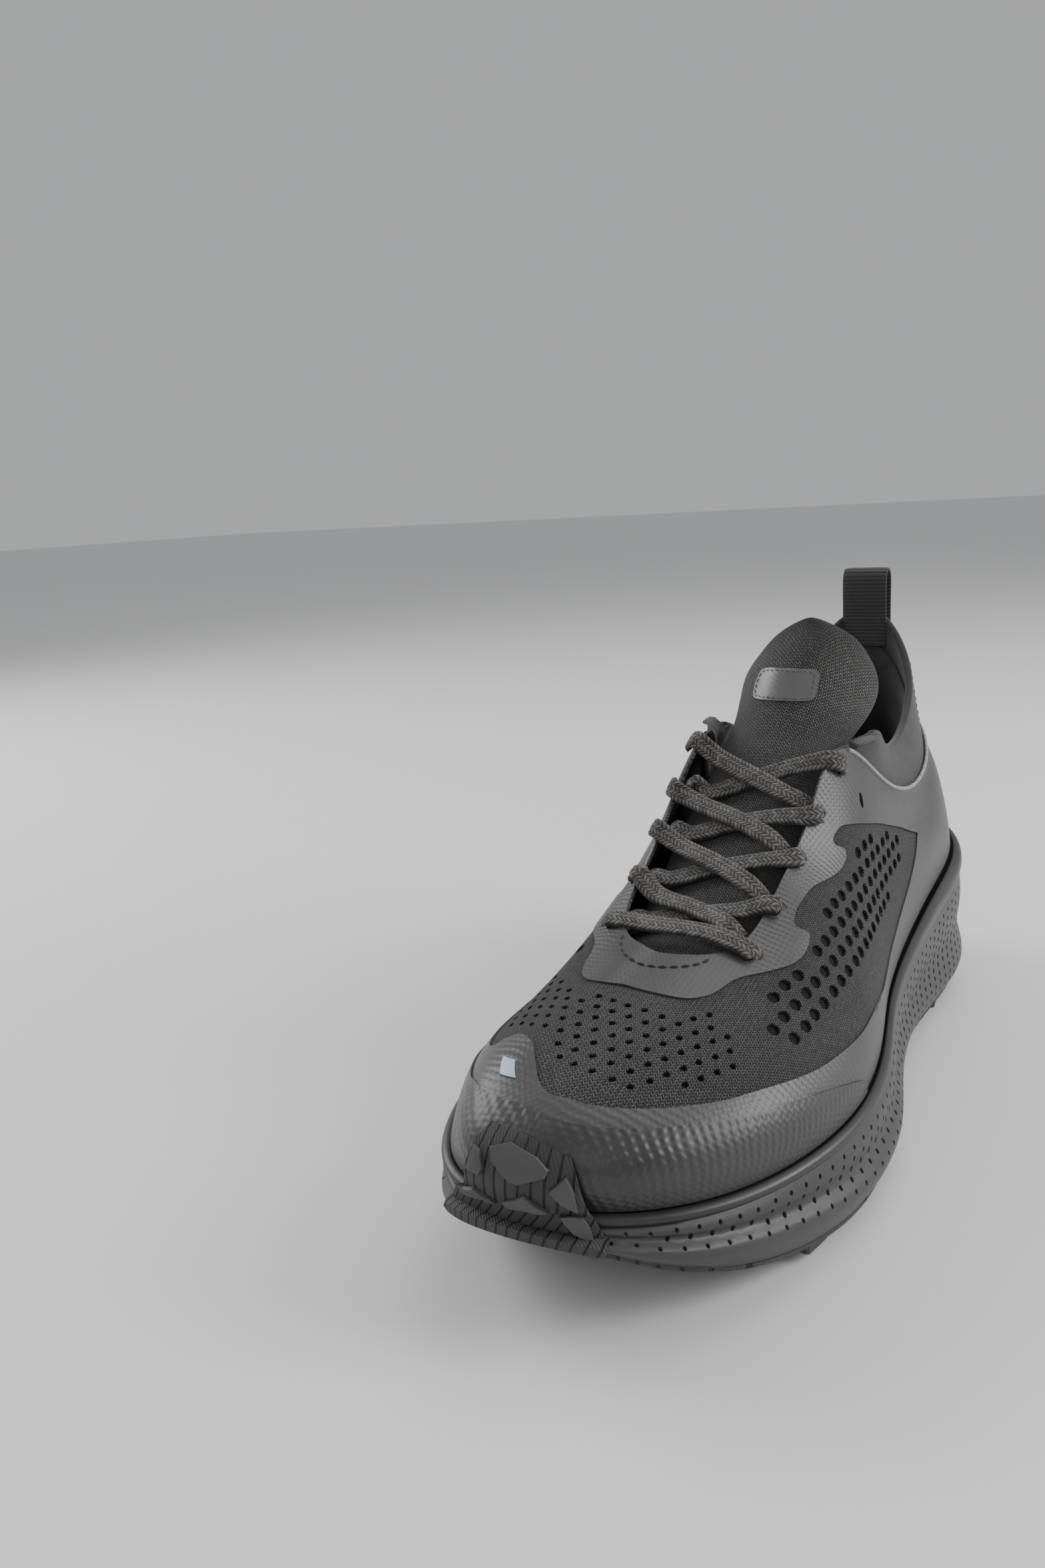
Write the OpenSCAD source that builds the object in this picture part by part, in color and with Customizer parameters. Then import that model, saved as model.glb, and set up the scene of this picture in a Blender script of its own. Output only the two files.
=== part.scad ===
// Running shoe for the left foot, with a thick foam midsole, a knit upper and film overlays.
// Toe towards -Y, heel towards +Y, outer (little-toe) side towards +X, ground at Z = 0.

/* [Upper] */
// Thickness of the knit shell
knit_t = 1.6; // [1.2:0.1:1.8]
// Thickness of one film overlay
film_t = 0.6; // [0.4:0.1:0.7]
// Thickness of the knit collar
collar_t = 3; // [2:0.5:3]
// Thickness of the padded tongue
tongue_t = 3; // [2:0.5:4]

/* [Sole] */
// Height of the outsole lugs below the rubber sheet
lug_h = 1.8; // [1:0.2:2.4]
// Thickness of the outsole rubber with its lugs
outsole_t = 4; // [3.6:0.2:4.4]
// Thickness of the toe bumper
bumper_t = 2; // [1.4:0.2:2.4]
// Thickness of the sockliner
insole_t = 4; // [3:0.5:5]

/* [Lace and loop] */
// Width of the flat lace
lace_w = 6.5; // [5:0.5:7]
// Thickness of the flat lace
lace_t = 2; // [1.4:0.2:2.2]
// Width of the pull loop webbing
loop_w = 18.5; // [14:0.5:20]
// Thickness of the pull loop webbing
loop_t = 1.6; // [1.2:0.2:1.8]

/* [Hidden] */

// The shoe's plan is closed round 22 stations: 0 is the toe tip, 1 to 10 the outer side,
// 11 the heel, 12 to 21 the inner side. A place on a surface is a station and a row.
stations = 22;
solve_steps = 12;
gap = 0.35;

// Widest outline of the midsole
PLAN = [
    [-13, -151], [13, -146], [36, -128], [52, -98], [61, -62], [60, -26], [52, 8], [47, 46],
    [48, 84], [48, 119], [33, 147], [0, 160], [-32, 147], [-46, 119], [-44, 83], [-38, 44],
    [-39, 8], [-46, -26], [-52, -60], [-52, -92], [-45, -118], [-31, -141]
];
// Rows of the upper, from the feather line at the midsole to the throat and collar line
FEATHER_LINE = [
    [-12, -143, 36], [12, -138.5, 35], [32, -121, 33], [46, -95, 32], [54, -61, 32.5],
    [52.5, -26, 35], [46, 8, 39], [43, 46, 45], [43, 84, 52], [42, 117, 59], [28, 143, 64],
    [0, 154, 66], [-28, 143, 64], [-40, 117, 58], [-38, 83, 53], [-34, 44, 48],
    [-34, 8, 45.5], [-38.5, -26, 43], [-44.5, -60, 41], [-45.5, -90, 40], [-41, -115, 38.5],
    [-30, -135, 37]
];
LOWER_ROW = [
    [-13, -145, 47], [12, -140.5, 46.5], [32, -123, 45], [46, -96, 44], [53, -60, 45.5],
    [51, -25, 51], [45, 10, 57], [42, 44, 64], [42.5, 78, 68], [41, 113, 72], [27, 145, 78],
    [0, 157, 80], [-27, 145, 78], [-39.5, 113, 72], [-37.5, 77, 68], [-34, 42, 66],
    [-34, 10, 60], [-37.5, -25, 55], [-43, -58, 51], [-43.5, -87, 49], [-39, -113, 47.5],
    [-28, -134, 47]
];
MIDDLE_ROW = [
    [-11, -132, 57.5], [9, -129, 56.5], [27, -114, 54.5], [39, -90, 55], [44.5, -56, 58.5],
    [44, -24, 66], [40, 8, 75], [38, 37, 83], [38.5, 72, 80], [38, 108, 83], [26.5, 144, 90],
    [0, 157, 94], [-26.5, 144, 90], [-37.5, 108, 83], [-36, 71, 80], [-34, 37, 85],
    [-33, 8, 77], [-35, -24, 68.5], [-38, -54, 61], [-38, -82, 57.5], [-35, -105, 57],
    [-25, -125, 57.5]
];
UPPER_ROW = [
    [-7, -102, 65.5], [7, -100, 65], [19.5, -91, 64], [29, -74, 64.5], [34, -50, 70],
    [34.5, -24, 78.5], [33, 2, 89.5], [33, 27, 102], [36, 61, 90], [35.5, 101, 89],
    [25.5, 140.5, 98], [0, 154.5, 106], [-25.5, 140.5, 98], [-35.5, 101, 89], [-34, 60, 92],
    [-31, 27, 106], [-30, 2, 94], [-30, -24, 82], [-30, -51, 73], [-29, -73, 67.5],
    [-24, -91, 65.5], [-16, -101, 66]
];
TOP_LINE = [
    [-2, -66, 73], [5, -65, 73], [12, -62, 73], [18, -55, 74], [21, -42, 78.5],
    [22, -24, 88], [23, -4, 101], [26, 19, 119], [33, 50, 101], [34.5, 93, 93],
    [25, 135, 104], [0, 151.5, 116], [-25, 135, 104], [-34, 93, 94], [-31.5, 50, 103],
    [-21.5, 19, 122], [-23, -4, 106], [-22, -24, 93], [-21, -42, 83], [-18, -55, 77.5],
    [-13, -62, 75], [-7, -65, 74]
];
// Rows of the collar over stations 7 to 15: its middle and its opening edge
COLLAR_MIDDLE = [
    [28, 32, 120], [31, 60, 108], [30.5, 95, 103], [23, 134, 118], [0, 149, 133],
    [-23, 134, 118], [-30, 95, 104], [-30, 60, 110.5], [-25, 31, 122]
];
COLLAR_EDGE = [
    [29, 45, 119], [28.5, 68, 112], [27.5, 98, 112], [21, 134, 132], [0, 150, 153],
    [-21.5, 135, 136], [-27, 98, 112], [-28, 67, 113], [-26.5, 43, 120]
];
collar_first = 7;
collar_last = 15;

// Centre line of the tongue from the vamp to the top lace, as [x, y, z, half width, side sag]
TONGUE = [
    [-1, -70, 66.5, 18, 6], [-0.5, -56, 72, 21, 6], [0, -42, 77, 22, 7], [0, -18, 90, 23, 8],
    [0, 6, 106, 23, 10], [1, 17, 117, 22, 12]
];
// Centre line of the tongue flap, above the top lace
FLAP = [
    [2, 22, 122.5, 23.5, 20], [3, 28, 131, 26, 26], [3.5, 33.5, 140, 25.5, 25],
    [6, 38.5, 149, 20.5, 15], [8, 42, 156, 13.5, 6], [8.5, 43, 159.5, 5, 2]
];
// Height of the footbed over the ground plane along the shoe
FOOTBED = [
    [-150, 28.5], [-120, 26.5], [-90, 25.5], [-60, 26], [-26, 28], [8, 30.5], [44, 33],
    [83, 36], [117, 39], [154, 41]
];
// Rise of the outsole along the shoe: the toe spring and the bevelled heel
GROUND = [
    [-152, 30], [-140, 21], [-125, 12.5], [-105, 5.5], [-80, 1], [-66, 0], [110, 0],
    [135, 3], [160, 9]
];
// Eyelets of one side, lowest first, as [station from the toe tip, row]
EYELETS = [[3.33, 3.72], [4.38, 3.84], [5.36, 3.88], [6.1, 3.84], [6.8, 3.74]];
// Upper edge of the mudguard: [station from the toe tip, row]
MUD_EDGE = [
    [0, 2.2], [0.7, 2.07], [1.7, 2], [2.5, 1.88], [3.3, 1.6], [4, 1.3], [4.9, 0.95], [6.9, 0.78]
];
// Upper edge of the toe guard
GUARD_EDGE = [[0, 1.85], [1.2, 1.72], [2, 1.66], [2.8, 1.44], [3.5, 1.1], [4.2, 0.5]];
// Outer edge of the eyestay
STAY_EDGE = [
    [0, 3.52], [1.2, 3.45], [2.2, 3.4], [2.75, 3.52], [3.3, 3.42], [3.9, 3.02], [4.35, 2.98],
    [4.6, 3.48], [5.1, 3.4], [5.6, 3], [5.95, 2.95], [6.1, 3.34], [6.4, 2.96], [7, 2.35]
];
// Front edge of the quarter overlay: [row, station]
QUARTER_EDGE = [
    [0, 6.92], [0.8, 6.92], [1, 7.25], [1.3, 7.6], [1.75, 7.92], [2.15, 7.5], [2.35, 7.07], [4, 7.07]
];

// ---- Splines and grids -------------------------------------------------------------------
// Control points of a closed cubic spline that passes through the points P
function ring_controls(P, C, steps) = steps == 0 ? C :
    let (m = len(P))
    ring_controls(P, [for (i = [0:m - 1])
        C[i] + P[i] - (C[(i + m - 1) % m] + 4 * C[i] + C[(i + 1) % m]) / 6], steps - 1);

function with_ends(C) =
    let (m = len(C))
    concat([2 * C[0] - C[1]], C, [2 * C[m - 1] - C[m - 2]]);

// The same for an open chain, whose items may be points or whole rows
function chain_controls(P, C, steps) = steps == 0 ? C :
    let (E = with_ends(C))
    chain_controls(P, [for (i = [0:len(P) - 1])
        C[i] + P[i] - (E[i] + 4 * E[i + 1] + E[i + 2]) / 6], steps - 1);

// Weights of the four control points that hold a place f along a span
function weights(f) =
    let (a = f * f * f, b = f * f, e = 1 - f)
    [e * e * e, 3 * a - 6 * b + 4, -3 * a + 3 * b + 3 * f + 1, a] / 6;

function surface_of(rows) =
    let (R = [for (r = rows) ring_controls(r, r, solve_steps)])
    with_ends(chain_controls(R, R, solve_steps));

function row_at(S, v) =
    let (i = max(0, min(floor(v), len(S) - 4)), w = weights(v - i))
    w[0] * S[i] + w[1] * S[i + 1] + w[2] * S[i + 2] + w[3] * S[i + 3];

function on_ring(C, t) =
    let (m = len(C), u = t < 0 ? t + m : t, i = floor(u), w = weights(u - i))
    w[0] * C[(i - 1 + m) % m] + w[1] * C[i % m] + w[2] * C[(i + 1) % m] + w[3] * C[(i + 2) % m];

function grid(S, ts, vs) = [for (v = vs) let (C = row_at(S, v)) [for (t = ts) on_ring(C, t)]];

function at(S, t, v) = on_ring(row_at(S, v), t);

function unit(a) = a / norm(a);

// Outward normal of a surface at a station and a row
function normal_at(S, t, v) =
    unit(cross(at(S, t + 0.05, v) - at(S, t - 0.05, v), at(S, t, v + 0.05) - at(S, t, v - 0.05)));

// Outward normals of a grid whose columns follow the stations and whose rows go up
function normals(G, ring) =
    let (rows = len(G), cols = len(G[0]))
    [for (r = [0:rows - 1]) [for (c = [0:cols - 1])
        let (
            a = ring ? (c + cols - 1) % cols : max(c - 1, 0),
            b = ring ? (c + 1) % cols : min(c + 1, cols - 1),
            across = G[r][b] - G[r][a],
            up = G[min(r + 1, rows - 1)][c] - G[max(r - 1, 0)][c]
        ) unit(cross(across, up))]];

// The grid moved along its normals by one distance for each row
function lifted(G, heights, ring = false) =
    let (N = normals(G, ring))
    [for (r = [0:len(G) - 1]) [for (c = [0:len(G[0]) - 1]) G[r][c] + heights[r] * N[r][c]]];

function steps(first, last, count) = [for (i = [0:count]) first + (last - first) * i / count];

function same(value, count) = [for (i = [1:count]) value];

// Stations counted from the toe tip on either side
function from_toe(t) = abs(t);

// A grid between two rows that vary along the stations
function band(S, ts, low, high, count) =
    [for (k = [0:count]) [for (t = ts)
        at(S, t, low(from_toe(t)) + (high(from_toe(t)) - low(from_toe(t))) * k / count)]];

// ---- Solids from grids -------------------------------------------------------------------
// Closed solid between an outer and an inner grid of the same size
module between(outer, inner, ring = false) {
    rows = len(outer);
    cols = len(outer[0]);
    half = rows * cols;
    spans = ring ? cols - 1 : cols - 2;
    skin = [for (r = [0:rows - 2], c = [0:spans])
        let (a = r * cols + c, b = r * cols + (c + 1) % cols, d = a + cols, e = b + cols)
        each [[a, d, e], [a, e, b], [half + a, half + e, half + d], [half + a, half + b, half + e]]];
    top = (rows - 1) * cols;
    rims = [for (c = [0:spans])
        let (n = (c + 1) % cols)
        each [[c, n, half + n], [c, half + n, half + c],
              [top + c, half + top + n, top + n], [top + c, half + top + c, half + top + n]]];
    right = cols - 1;
    sides = ring ? [] : [for (r = [0:rows - 2])
        let (a = r * cols, b = a + cols, p = a + right, q = b + right)
        each [[a, half + b, b], [a, half + a, half + b], [p, q, half + q], [p, half + q, half + p]]];
    polyhedron([for (r = outer) each r, for (r = inner) each r], concat(skin, rims, sides), convexity = 8);
}

// Solid skin over a grid, from the inner distance to the outer one
module skin(G, inner, outer, ring = false) {
    between(lifted(G, same(outer, len(G)), ring), lifted(G, same(inner, len(G)), ring), ring);
}

// Closed solid from a stack of rings, its ends closed by strips from side to side
module stack(rings) {
    cols = len(rings[0]);
    last = (len(rings) - 1) * cols;
    walls = [for (r = [0:len(rings) - 2], c = [0:cols - 1])
        let (a = r * cols + c, b = r * cols + (c + 1) % cols)
        each [[a, a + cols, b + cols], [a, b + cols, b]]];
    half = cols / 2;
    ends = [for (c = [0:half - 1])
        let (a = c, b = c + 1, p = (cols - c) % cols, q = cols - c - 1)
        each concat(
            c == 0 ? [[a, b, q], [last + a, last + q, last + b]] : c == half - 1 ?
            [[a, b, p], [last + a, last + p, last + b]] :
            [[a, b, q], [a, q, p], [last + a, last + q, last + b], [last + a, last + p, last + q]])];
    polyhedron([for (r = rings) each r], concat(walls, ends), convexity = 6);
}

// Flat-sided tube along [point, normal] pairs
module ribbon(route, width, thick, sides) {
    m = len(route);
    rings = [for (i = [0:m - 1])
        let (
            along = unit(route[min(i + 1, m - 1)][0] - route[max(i - 1, 0)][0]),
            side = unit(cross(along, route[i][1])),
            up = cross(side, along)
        )
        each [for (k = [0:sides - 1])
            let (a = 360 * (k + 0.5) / sides)
            route[i][0] + side * cos(a) * width / 2 + up * sin(a) * thick / 2]];
    walls = [for (i = [0:m - 2], k = [0:sides - 1])
        let (a = i * sides + k, b = i * sides + (k + 1) % sides)
        each [[a, b + sides, a + sides], [a, b, b + sides]]];
    first = [for (k = [0:sides - 1]) sides - 1 - k];
    end = [for (k = [0:sides - 1]) (m - 1) * sides + k];
    polyhedron(rings, concat(walls, [first, end]), convexity = 10);
}

// ---- Surfaces of the shoe ----------------------------------------------------------------
UPPER = surface_of([FEATHER_LINE, LOWER_ROW, MIDDLE_ROW, UPPER_ROW, TOP_LINE]);

function around_collar(row) = [for (i = [0:stations - 1])
    i >= collar_first && i <= collar_last ? row[i - collar_first] : TOP_LINE[i]];
COLLAR = surface_of([TOP_LINE, around_collar(COLLAR_MIDDLE), around_collar(COLLAR_EDGE)]);

function height_in(table, y) = lookup(y, table);

// Outward direction in plan at each station
function plan_out(i) =
    let (d = unit(PLAN[(i + 1) % stations] - PLAN[(i + stations - 1) % stations])) [d.y, -d.x, 0];
OUT = [for (i = [0:stations - 1]) plan_out(i)];

// 0 in the forefoot and 1 at the heel
function heel_share(i) = max(0, min(1, (FEATHER_LINE[i].y - 20) / 120));
function rim_drop(i) = 5 + 5 * heel_share(i);
function rim_reach(i) = 3 + 1.5 * heel_share(i);

// The widest foam stands 13 mm above the ground line; the bottom edge is drawn in under it
foam_widest = 13;
crease_inset = 1.5;
bottom_inset = 6;
FOAM_TOP = [for (i = [0:stations - 1]) FEATHER_LINE[i] + OUT[i] * rim_reach(i) - [0, 0, rim_drop(i)]];
function foam_foot(y) = height_in(GROUND, y) + outsole_t + gap / 2;
// In the toe the foam thins out, so its widest line stays half way up
FOAM_WIDE = [for (i = [0:stations - 1])
    let (p = PLAN[i], half_way = (foam_foot((PLAN[i] - OUT[i] * bottom_inset).y) + FOAM_TOP[i].z) / 2)
    [p.x, p.y, min(height_in(GROUND, p.y) + foam_widest, half_way)]];
FOAM_CREASE = [for (i = [0:stations - 1])
    FOAM_TOP[i] * 0.33 + FOAM_WIDE[i] * 0.67 - OUT[i] * crease_inset];
FOAM_UPPER = [for (i = [0:stations - 1]) FOAM_TOP[i] * 0.66 + FOAM_WIDE[i] * 0.34];
FOAM_BOTTOM = [for (i = [0:stations - 1])
    let (p = FOAM_WIDE[i] - OUT[i] * bottom_inset) [p.x, p.y, foam_foot(p.y)]];
FOAM = surface_of([FOAM_BOTTOM, FOAM_WIDE, FOAM_CREASE, FOAM_UPPER, FOAM_TOP]);
foam_rows = 4;

ring_stations = [for (i = [0:65]) i / 3];

// Ring inside the feather line, at its own height or on the footbed
function inset_ring(inset, lift = 0) =
    let (
        ring = [for (i = [0:stations - 1]) FEATHER_LINE[i] - OUT[i] * inset],
        C = ring_controls(ring, ring, solve_steps)
    )
    [for (t = ring_stations) let (p = on_ring(C, t)) [p.x, p.y, height_in(FOOTBED, p.y) + lift]];

function ledge_ring(inset) =
    let (
        ring = [for (i = [0:stations - 1]) FEATHER_LINE[i] - OUT[i] * inset - [0, 0, rim_drop(i)]],
        C = ring_controls(ring, ring, solve_steps)
    )
    [for (t = ring_stations) on_ring(C, t)];

function rim_ring(reach, drop) =
    let (
        ring = [for (i = [0:stations - 1])
            FEATHER_LINE[i] + OUT[i] * reach * rim_reach(i) - [0, 0, drop * rim_drop(i)]],
        C = ring_controls(ring, ring, solve_steps)
    )
    [for (t = ring_stations) on_ring(C, t)];

function drop_by(ring, d) = [for (p = ring) p - [0, 0, d]];

// The origin is under the middle of the whole shoe
middle_x = 4.525;
middle_y = 3.73;
module placed() {
    translate([-middle_x, -middle_y, 0]) children();
}

// ---- Sole --------------------------------------------------------------------------------
module midsole() {
    outer = grid(FOAM, ring_stations, steps(0, foam_rows, 8));
    placed() color([0.16, 0.16, 0.17])
        stack(concat(outer, [ledge_ring(3), inset_ring(6, 2), inset_ring(8)]));
}

module midsole_rim() {
    outer = [rim_ring(1, 1), rim_ring(1.1, 0.55), rim_ring(0.75, 0.1), rim_ring(0.2, 0)];
    inner = [rim_ring(-0.3, 1), rim_ring(-0.35, 0.7), rim_ring(-0.35, 0.35), rim_ring(-0.35, 0)];
    // The rim stands a hair above the foam and below the upper
    clear = 0.3;
    placed() color([0.07, 0.07, 0.075])
        between([for (k = [0:3]) drop_by(outer[k], k == 0 ? -clear : clear)],
                [for (k = [0:3]) drop_by(inner[k], k == 0 ? -clear : clear)], ring = true);
}

// Point under the foam: from the outer edge (0) to the inner edge (1) at a station
function under_foam(C, t, s) = on_ring(C, t) * (1 - s) + on_ring(C, stations - t) * s;

// Rubber sheet with rows of lugs, between two stations
module tread(first, last, rows, columns) {
    C = row_at(FOAM, 0);
    wall = 0.04;
    pitch_t = (last - first) / rows;
    pitch_s = 1 / columns;
    land = 0.3;
    // Each pitch has a lug between two steep walls, and then a groove
    ts = concat([for (k = [0:rows - 1]) each
        first * [1, 1, 1, 1] + pitch_t * [k, k + wall, k + 1 - land, k + 1 - land + wall]], [last]);
    ss = concat([for (k = [0:columns - 1]) each
        pitch_s * [k, k + wall, k + 1 - land / 2, k + 1 - land / 2 + wall]], [1]);
    top = [for (s = ss) [for (t = ts) under_foam(C, t, s) - [0, 0, gap / 2]]];
    bottom = [for (j = [0:len(ss) - 1]) [for (i = [0:len(ts) - 1])
        let (lug = (i % 4 == 1 || i % 4 == 2) && (j % 4 == 1 || j % 4 == 2), p = top[j][i])
        [p.x, p.y, height_in(GROUND, p.y) + (lug ? 0 : lug_h)]]];
    between(top, bottom);
}

module outsole_forefoot() {
    placed() color([0.05, 0.05, 0.05]) tread(0.6, 6.4, 11, 5);
}

module outsole_heel() {
    placed() color([0.05, 0.05, 0.05]) tread(7, 10.5, 7, 4);
}

module toe_bumper() {
    ts = steps(-1, 1.1, 10);
    sole = [for (v = [0, 0.5, 1, 1.5, 2, 2.5, 3, 3.5, 4]) [for (t = ts) at(FOAM, t, v)]];
    // [row of the upper, distance over it]: the bumper passes over the rim and the toe guard
    over = [[0, 3.7], [0.3, 2.7], [0.7, 2.3], [1.15, 2.2]];
    vamp = [for (o = over) [for (t = ts)
        at(UPPER, t, o[0]) + normal_at(UPPER, t, max(o[0], 0.2)) * o[1]]];
    rows = concat(sole, vamp);
    placed() color([0.06, 0.06, 0.06]) skin(rows, gap, gap + bumper_t);
}

// ---- Inside ------------------------------------------------------------------------------
board_t = 1.2;
board_lift = 0.2;
module strobel_board() {
    placed() color([0.7, 0.7, 0.68])
        stack([inset_ring(8.6, board_lift), inset_ring(8.6, board_lift + board_t)]);
}

module insole() {
    low = board_lift + board_t + 0.2;
    placed() color([0.2, 0.2, 0.22])
        stack([inset_ring(12, low), inset_ring(11, low + 1), inset_ring(11, low + insole_t + 1.5),
               inset_ring(12.5, low + insole_t + 1.5), inset_ring(17, low + insole_t)]);
}

module toe_puff() {
    G = grid(UPPER, steps(-3.4, 3.4, 20), steps(0.2, 1.9, 4));
    placed() color([0.75, 0.74, 0.7]) skin(G, -knit_t - 1, -knit_t - 0.3);
}

counter_in = -knit_t - 1.7;
module heel_counter() {
    G = grid(UPPER, steps(8.4, 13.6, 14), steps(0.15, 3, 5));
    placed() color([0.8, 0.78, 0.72]) skin(G, counter_in, -knit_t - 0.5);
}

foam_in = counter_in - 4;
module collar_foam() {
    G = grid(UPPER, steps(8.2, 13.8, 16), steps(1.6, 3.3, 4));
    placed() color([0.85, 0.8, 0.6]) skin(G, foam_in, counter_in - 0.5);
}

lining_t = 1;
module heel_lining() {
    ts = steps(8, 14, 18);
    G = concat(
        [for (v = [-0.5, 0.5, 1.6, 2.6, 3.4]) [for (t = ts) at(UPPER, t, v)]],
        [for (v = [0.5, 1.2]) [for (t = ts) at(COLLAR, t, v)]]);
    behind = foam_in - 0.6;
    depth = [-7.2, behind, behind, behind, behind + 0.4, -collar_t - 1, -collar_t - 0.5];
    placed() color([0.3, 0.3, 0.31])
        between(lifted(G, depth), lifted(G, [for (d = depth) d - lining_t]));
}

// ---- Upper -------------------------------------------------------------------------------
module mesh_upper() {
    placed() color([0.1, 0.1, 0.105])
        skin(grid(UPPER, ring_stations, steps(0, 4, 8)), -knit_t, 0, ring = true);
}

over_first = gap;
over_heel = gap + 0.25;
over_second = over_first + film_t + 0.25;
overlay_foot = 0.08;

module mudguard() {
    edge = function(t) lookup(t, MUD_EDGE);
    G = band(UPPER, steps(-6.9, 6.9, 46), function(t) overlay_foot, edge, 6);
    placed() color([0.2, 0.2, 0.21]) skin(G, over_first, over_first + film_t);
}

module toe_guard() {
    edge = function(t) lookup(t, GUARD_EDGE);
    G = band(UPPER, steps(-4.2, 4.2, 30), function(t) overlay_foot, edge, 6);
    placed() color([0.14, 0.14, 0.15]) skin(G, over_second, over_second + film_t);
}

module eyestay() {
    G = band(UPPER, steps(-7.05, 7.05, 64), function(t) lookup(t, STAY_EDGE), function(t) 4, 3);
    placed() color([0.22, 0.22, 0.23]) skin(G, over_first, over_first + film_t);
}

module quarter_overlay() {
    rows = [overlay_foot, 0.5, 0.9, 1.3, 1.75, 2.2, 2.6, 3, 3.5, 4];
    G = [for (v = rows)
        let (t = lookup(v, QUARTER_EDGE), C = row_at(UPPER, v))
        [for (k = steps(t, stations - t, 44)) on_ring(C, k)]];
    placed() color([0.22, 0.22, 0.23]) skin(G, over_heel, over_heel + film_t);
}

module collar() {
    G = grid(COLLAR, steps(collar_first, collar_last, 32), steps(0, 2, 5));
    // The foot of the collar stands on the top line of the knit shell
    raised = [for (r = [0:len(G) - 1]) r == 0 ? [for (p = G[0]) p + [0, 0, 2 * gap]] : G[r]];
    placed() color([0.12, 0.12, 0.12]) skin(raised, -collar_t, 0);
}

module collar_piping() {
    route = [for (t = steps(7.2, 14.8, 38))
        let (n = normal_at(UPPER, t, 3.9)) [at(UPPER, t, 3.96) + n * (over_first + film_t + 1.2), n]];
    placed() color([0.5, 0.5, 0.52]) ribbon(route, 1.6, 1.6, 6);
}

module vamp_stitching() {
    route = [for (t = steps(-2.5, 2.2, 16))
        let (n = normal_at(UPPER, t, 3.8)) [at(UPPER, t, 3.82) + n * (over_first + film_t + 0.9), n]];
    placed() color([0.04, 0.04, 0.04]) ribbon(route, 1.2, 1, 6);
}

// Grid over a tongue profile, its sides drawn back round the foot
function tongue_grid(profile, ss, per) =
    let (P = chain_controls(profile, profile, solve_steps), E = with_ends(P))
    [for (k = [0:(len(profile) - 1) * per])
        let (
            v = k / per, i = min(floor(v), len(profile) - 2), w = weights(v - i),
            q = w[0] * E[i] + w[1] * E[i + 1] + w[2] * E[i + 2] + w[3] * E[i + 3]
        )
        [for (s = ss) [q[0] + s * q[3], q[1] + pow(abs(s), 2.2) * q[4], q[2] - min(3, q[3] / 7) * pow(abs(s), 2.2)]]];

across = steps(-1, 1, 10);
// Tongue columns run from the inner side to the outer one, so its front is the outward side
module tongue() {
    placed() color([0.13, 0.13, 0.13]) skin(tongue_grid(TONGUE, across, 2), -tongue_t, 0);
}

module tongue_flap() {
    placed() color([0.15, 0.15, 0.15]) skin(tongue_grid(FLAP, across, 2), -tongue_t, 0);
}

module tongue_patch() {
    G = tongue_grid([for (k = [1, 2, 3]) FLAP[k]], steps(-0.36, 0.28, 4), 4);
    placed() color([0.6, 0.6, 0.62]) skin([for (k = [2:5]) G[k]], 0.4, 1);
}

module toe_reflector() {
    corners = [[-0.57, 2.1], [-0.2, 2.15], [-0.96, 2.28], [-0.57, 2.33]];
    G = [for (b = [0, 0.5, 1]) [for (a = [0, 0.5, 1])
        let (
            low = corners[0] * (1 - a) + corners[1] * a,
            high = corners[2] * (1 - a) + corners[3] * a,
            c = low * (1 - b) + high * b
        )
        at(UPPER, c[0], c[1])]];
    placed() color([0.7, 0.75, 0.8]) skin(G, over_second, over_second + 0.4);
}

// ---- Lace --------------------------------------------------------------------------------
function side_station(side, t) = side > 0 ? t : stations - t;

// Point over or under an eyelet, and over or under the throat edge beside it
function eyelet(side, k, lift) =
    let (t = side_station(side, EYELETS[k][0]), v = EYELETS[k][1], n = normal_at(UPPER, t, v))
    [at(UPPER, t, v) + n * lift, n];

over_film = over_first + film_t + 0.4 + lace_t / 2;
under_knit = -knit_t - 0.4 - lace_t / 2;

function throat(side, t, lift, inward) =
    let (u = side_station(side, t), n = normal_at(UPPER, u, 3.9))
    [at(UPPER, u, 4) + n * lift - [side * inward, 0, 0], n];

// Height of the tongue along its centre line, and its upward direction
TONGUE_HEIGHT = [for (p = TONGUE) [p.y, p.z]];
function tongue_up(y) =
    let (d = unit([0, 2, lookup(y + 1, TONGUE_HEIGHT) - lookup(y - 1, TONGUE_HEIGHT)])) [0, -d.z, d.y];
function over_tongue(x, y, lift) = [[x, y, lookup(y, TONGUE_HEIGHT)] + tongue_up(y) * lift, tongue_up(y)];

// One crossing: under the film from eyelet k, out at the throat edge, over the tongue and
// over the film on the other side to eyelet k + 1
function crossing(side, k, lift) =
    let (
        leave = EYELETS[k][0] + 0.08, arrive = EYELETS[k + 1][0],
        out = throat(side, leave, under_knit, 2)[0], far = eyelet(-side, k + 1, over_film)[0],
        a = out.y * 0.8 + far.y * 0.2, b = out.y * 0.2 + far.y * 0.8
    )
    [
        eyelet(side, k, under_knit),
        throat(side, leave, under_knit, 3),
        over_tongue(side * 13, a - 1, lift),
        over_tongue(0, (a + b) / 2, lift + 0.6),
        over_tongue(-side * 13, b, lift + 0.6),
        throat(-side, arrive - 0.1, over_film, 1),
        eyelet(-side, k + 1, over_film)
    ];

// Tail tucked between the tongue and the quarter after the top eyelet
function tail(side) =
    let (e = eyelet(side, 4, under_knit - 1.5))
    [
        e,
        [[side * 21, 21, 100], [side, 0, 0]],
        [[side * 23, 24, 84], [side, 0, 0]],
        [[side * 26, 18, 70], [side, 0, 0]],
        [[side * 28, 4, 63], [side, 0, 0]],
        [[side * 28, -14, 60], [side, 0, 0]]
    ];

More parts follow.
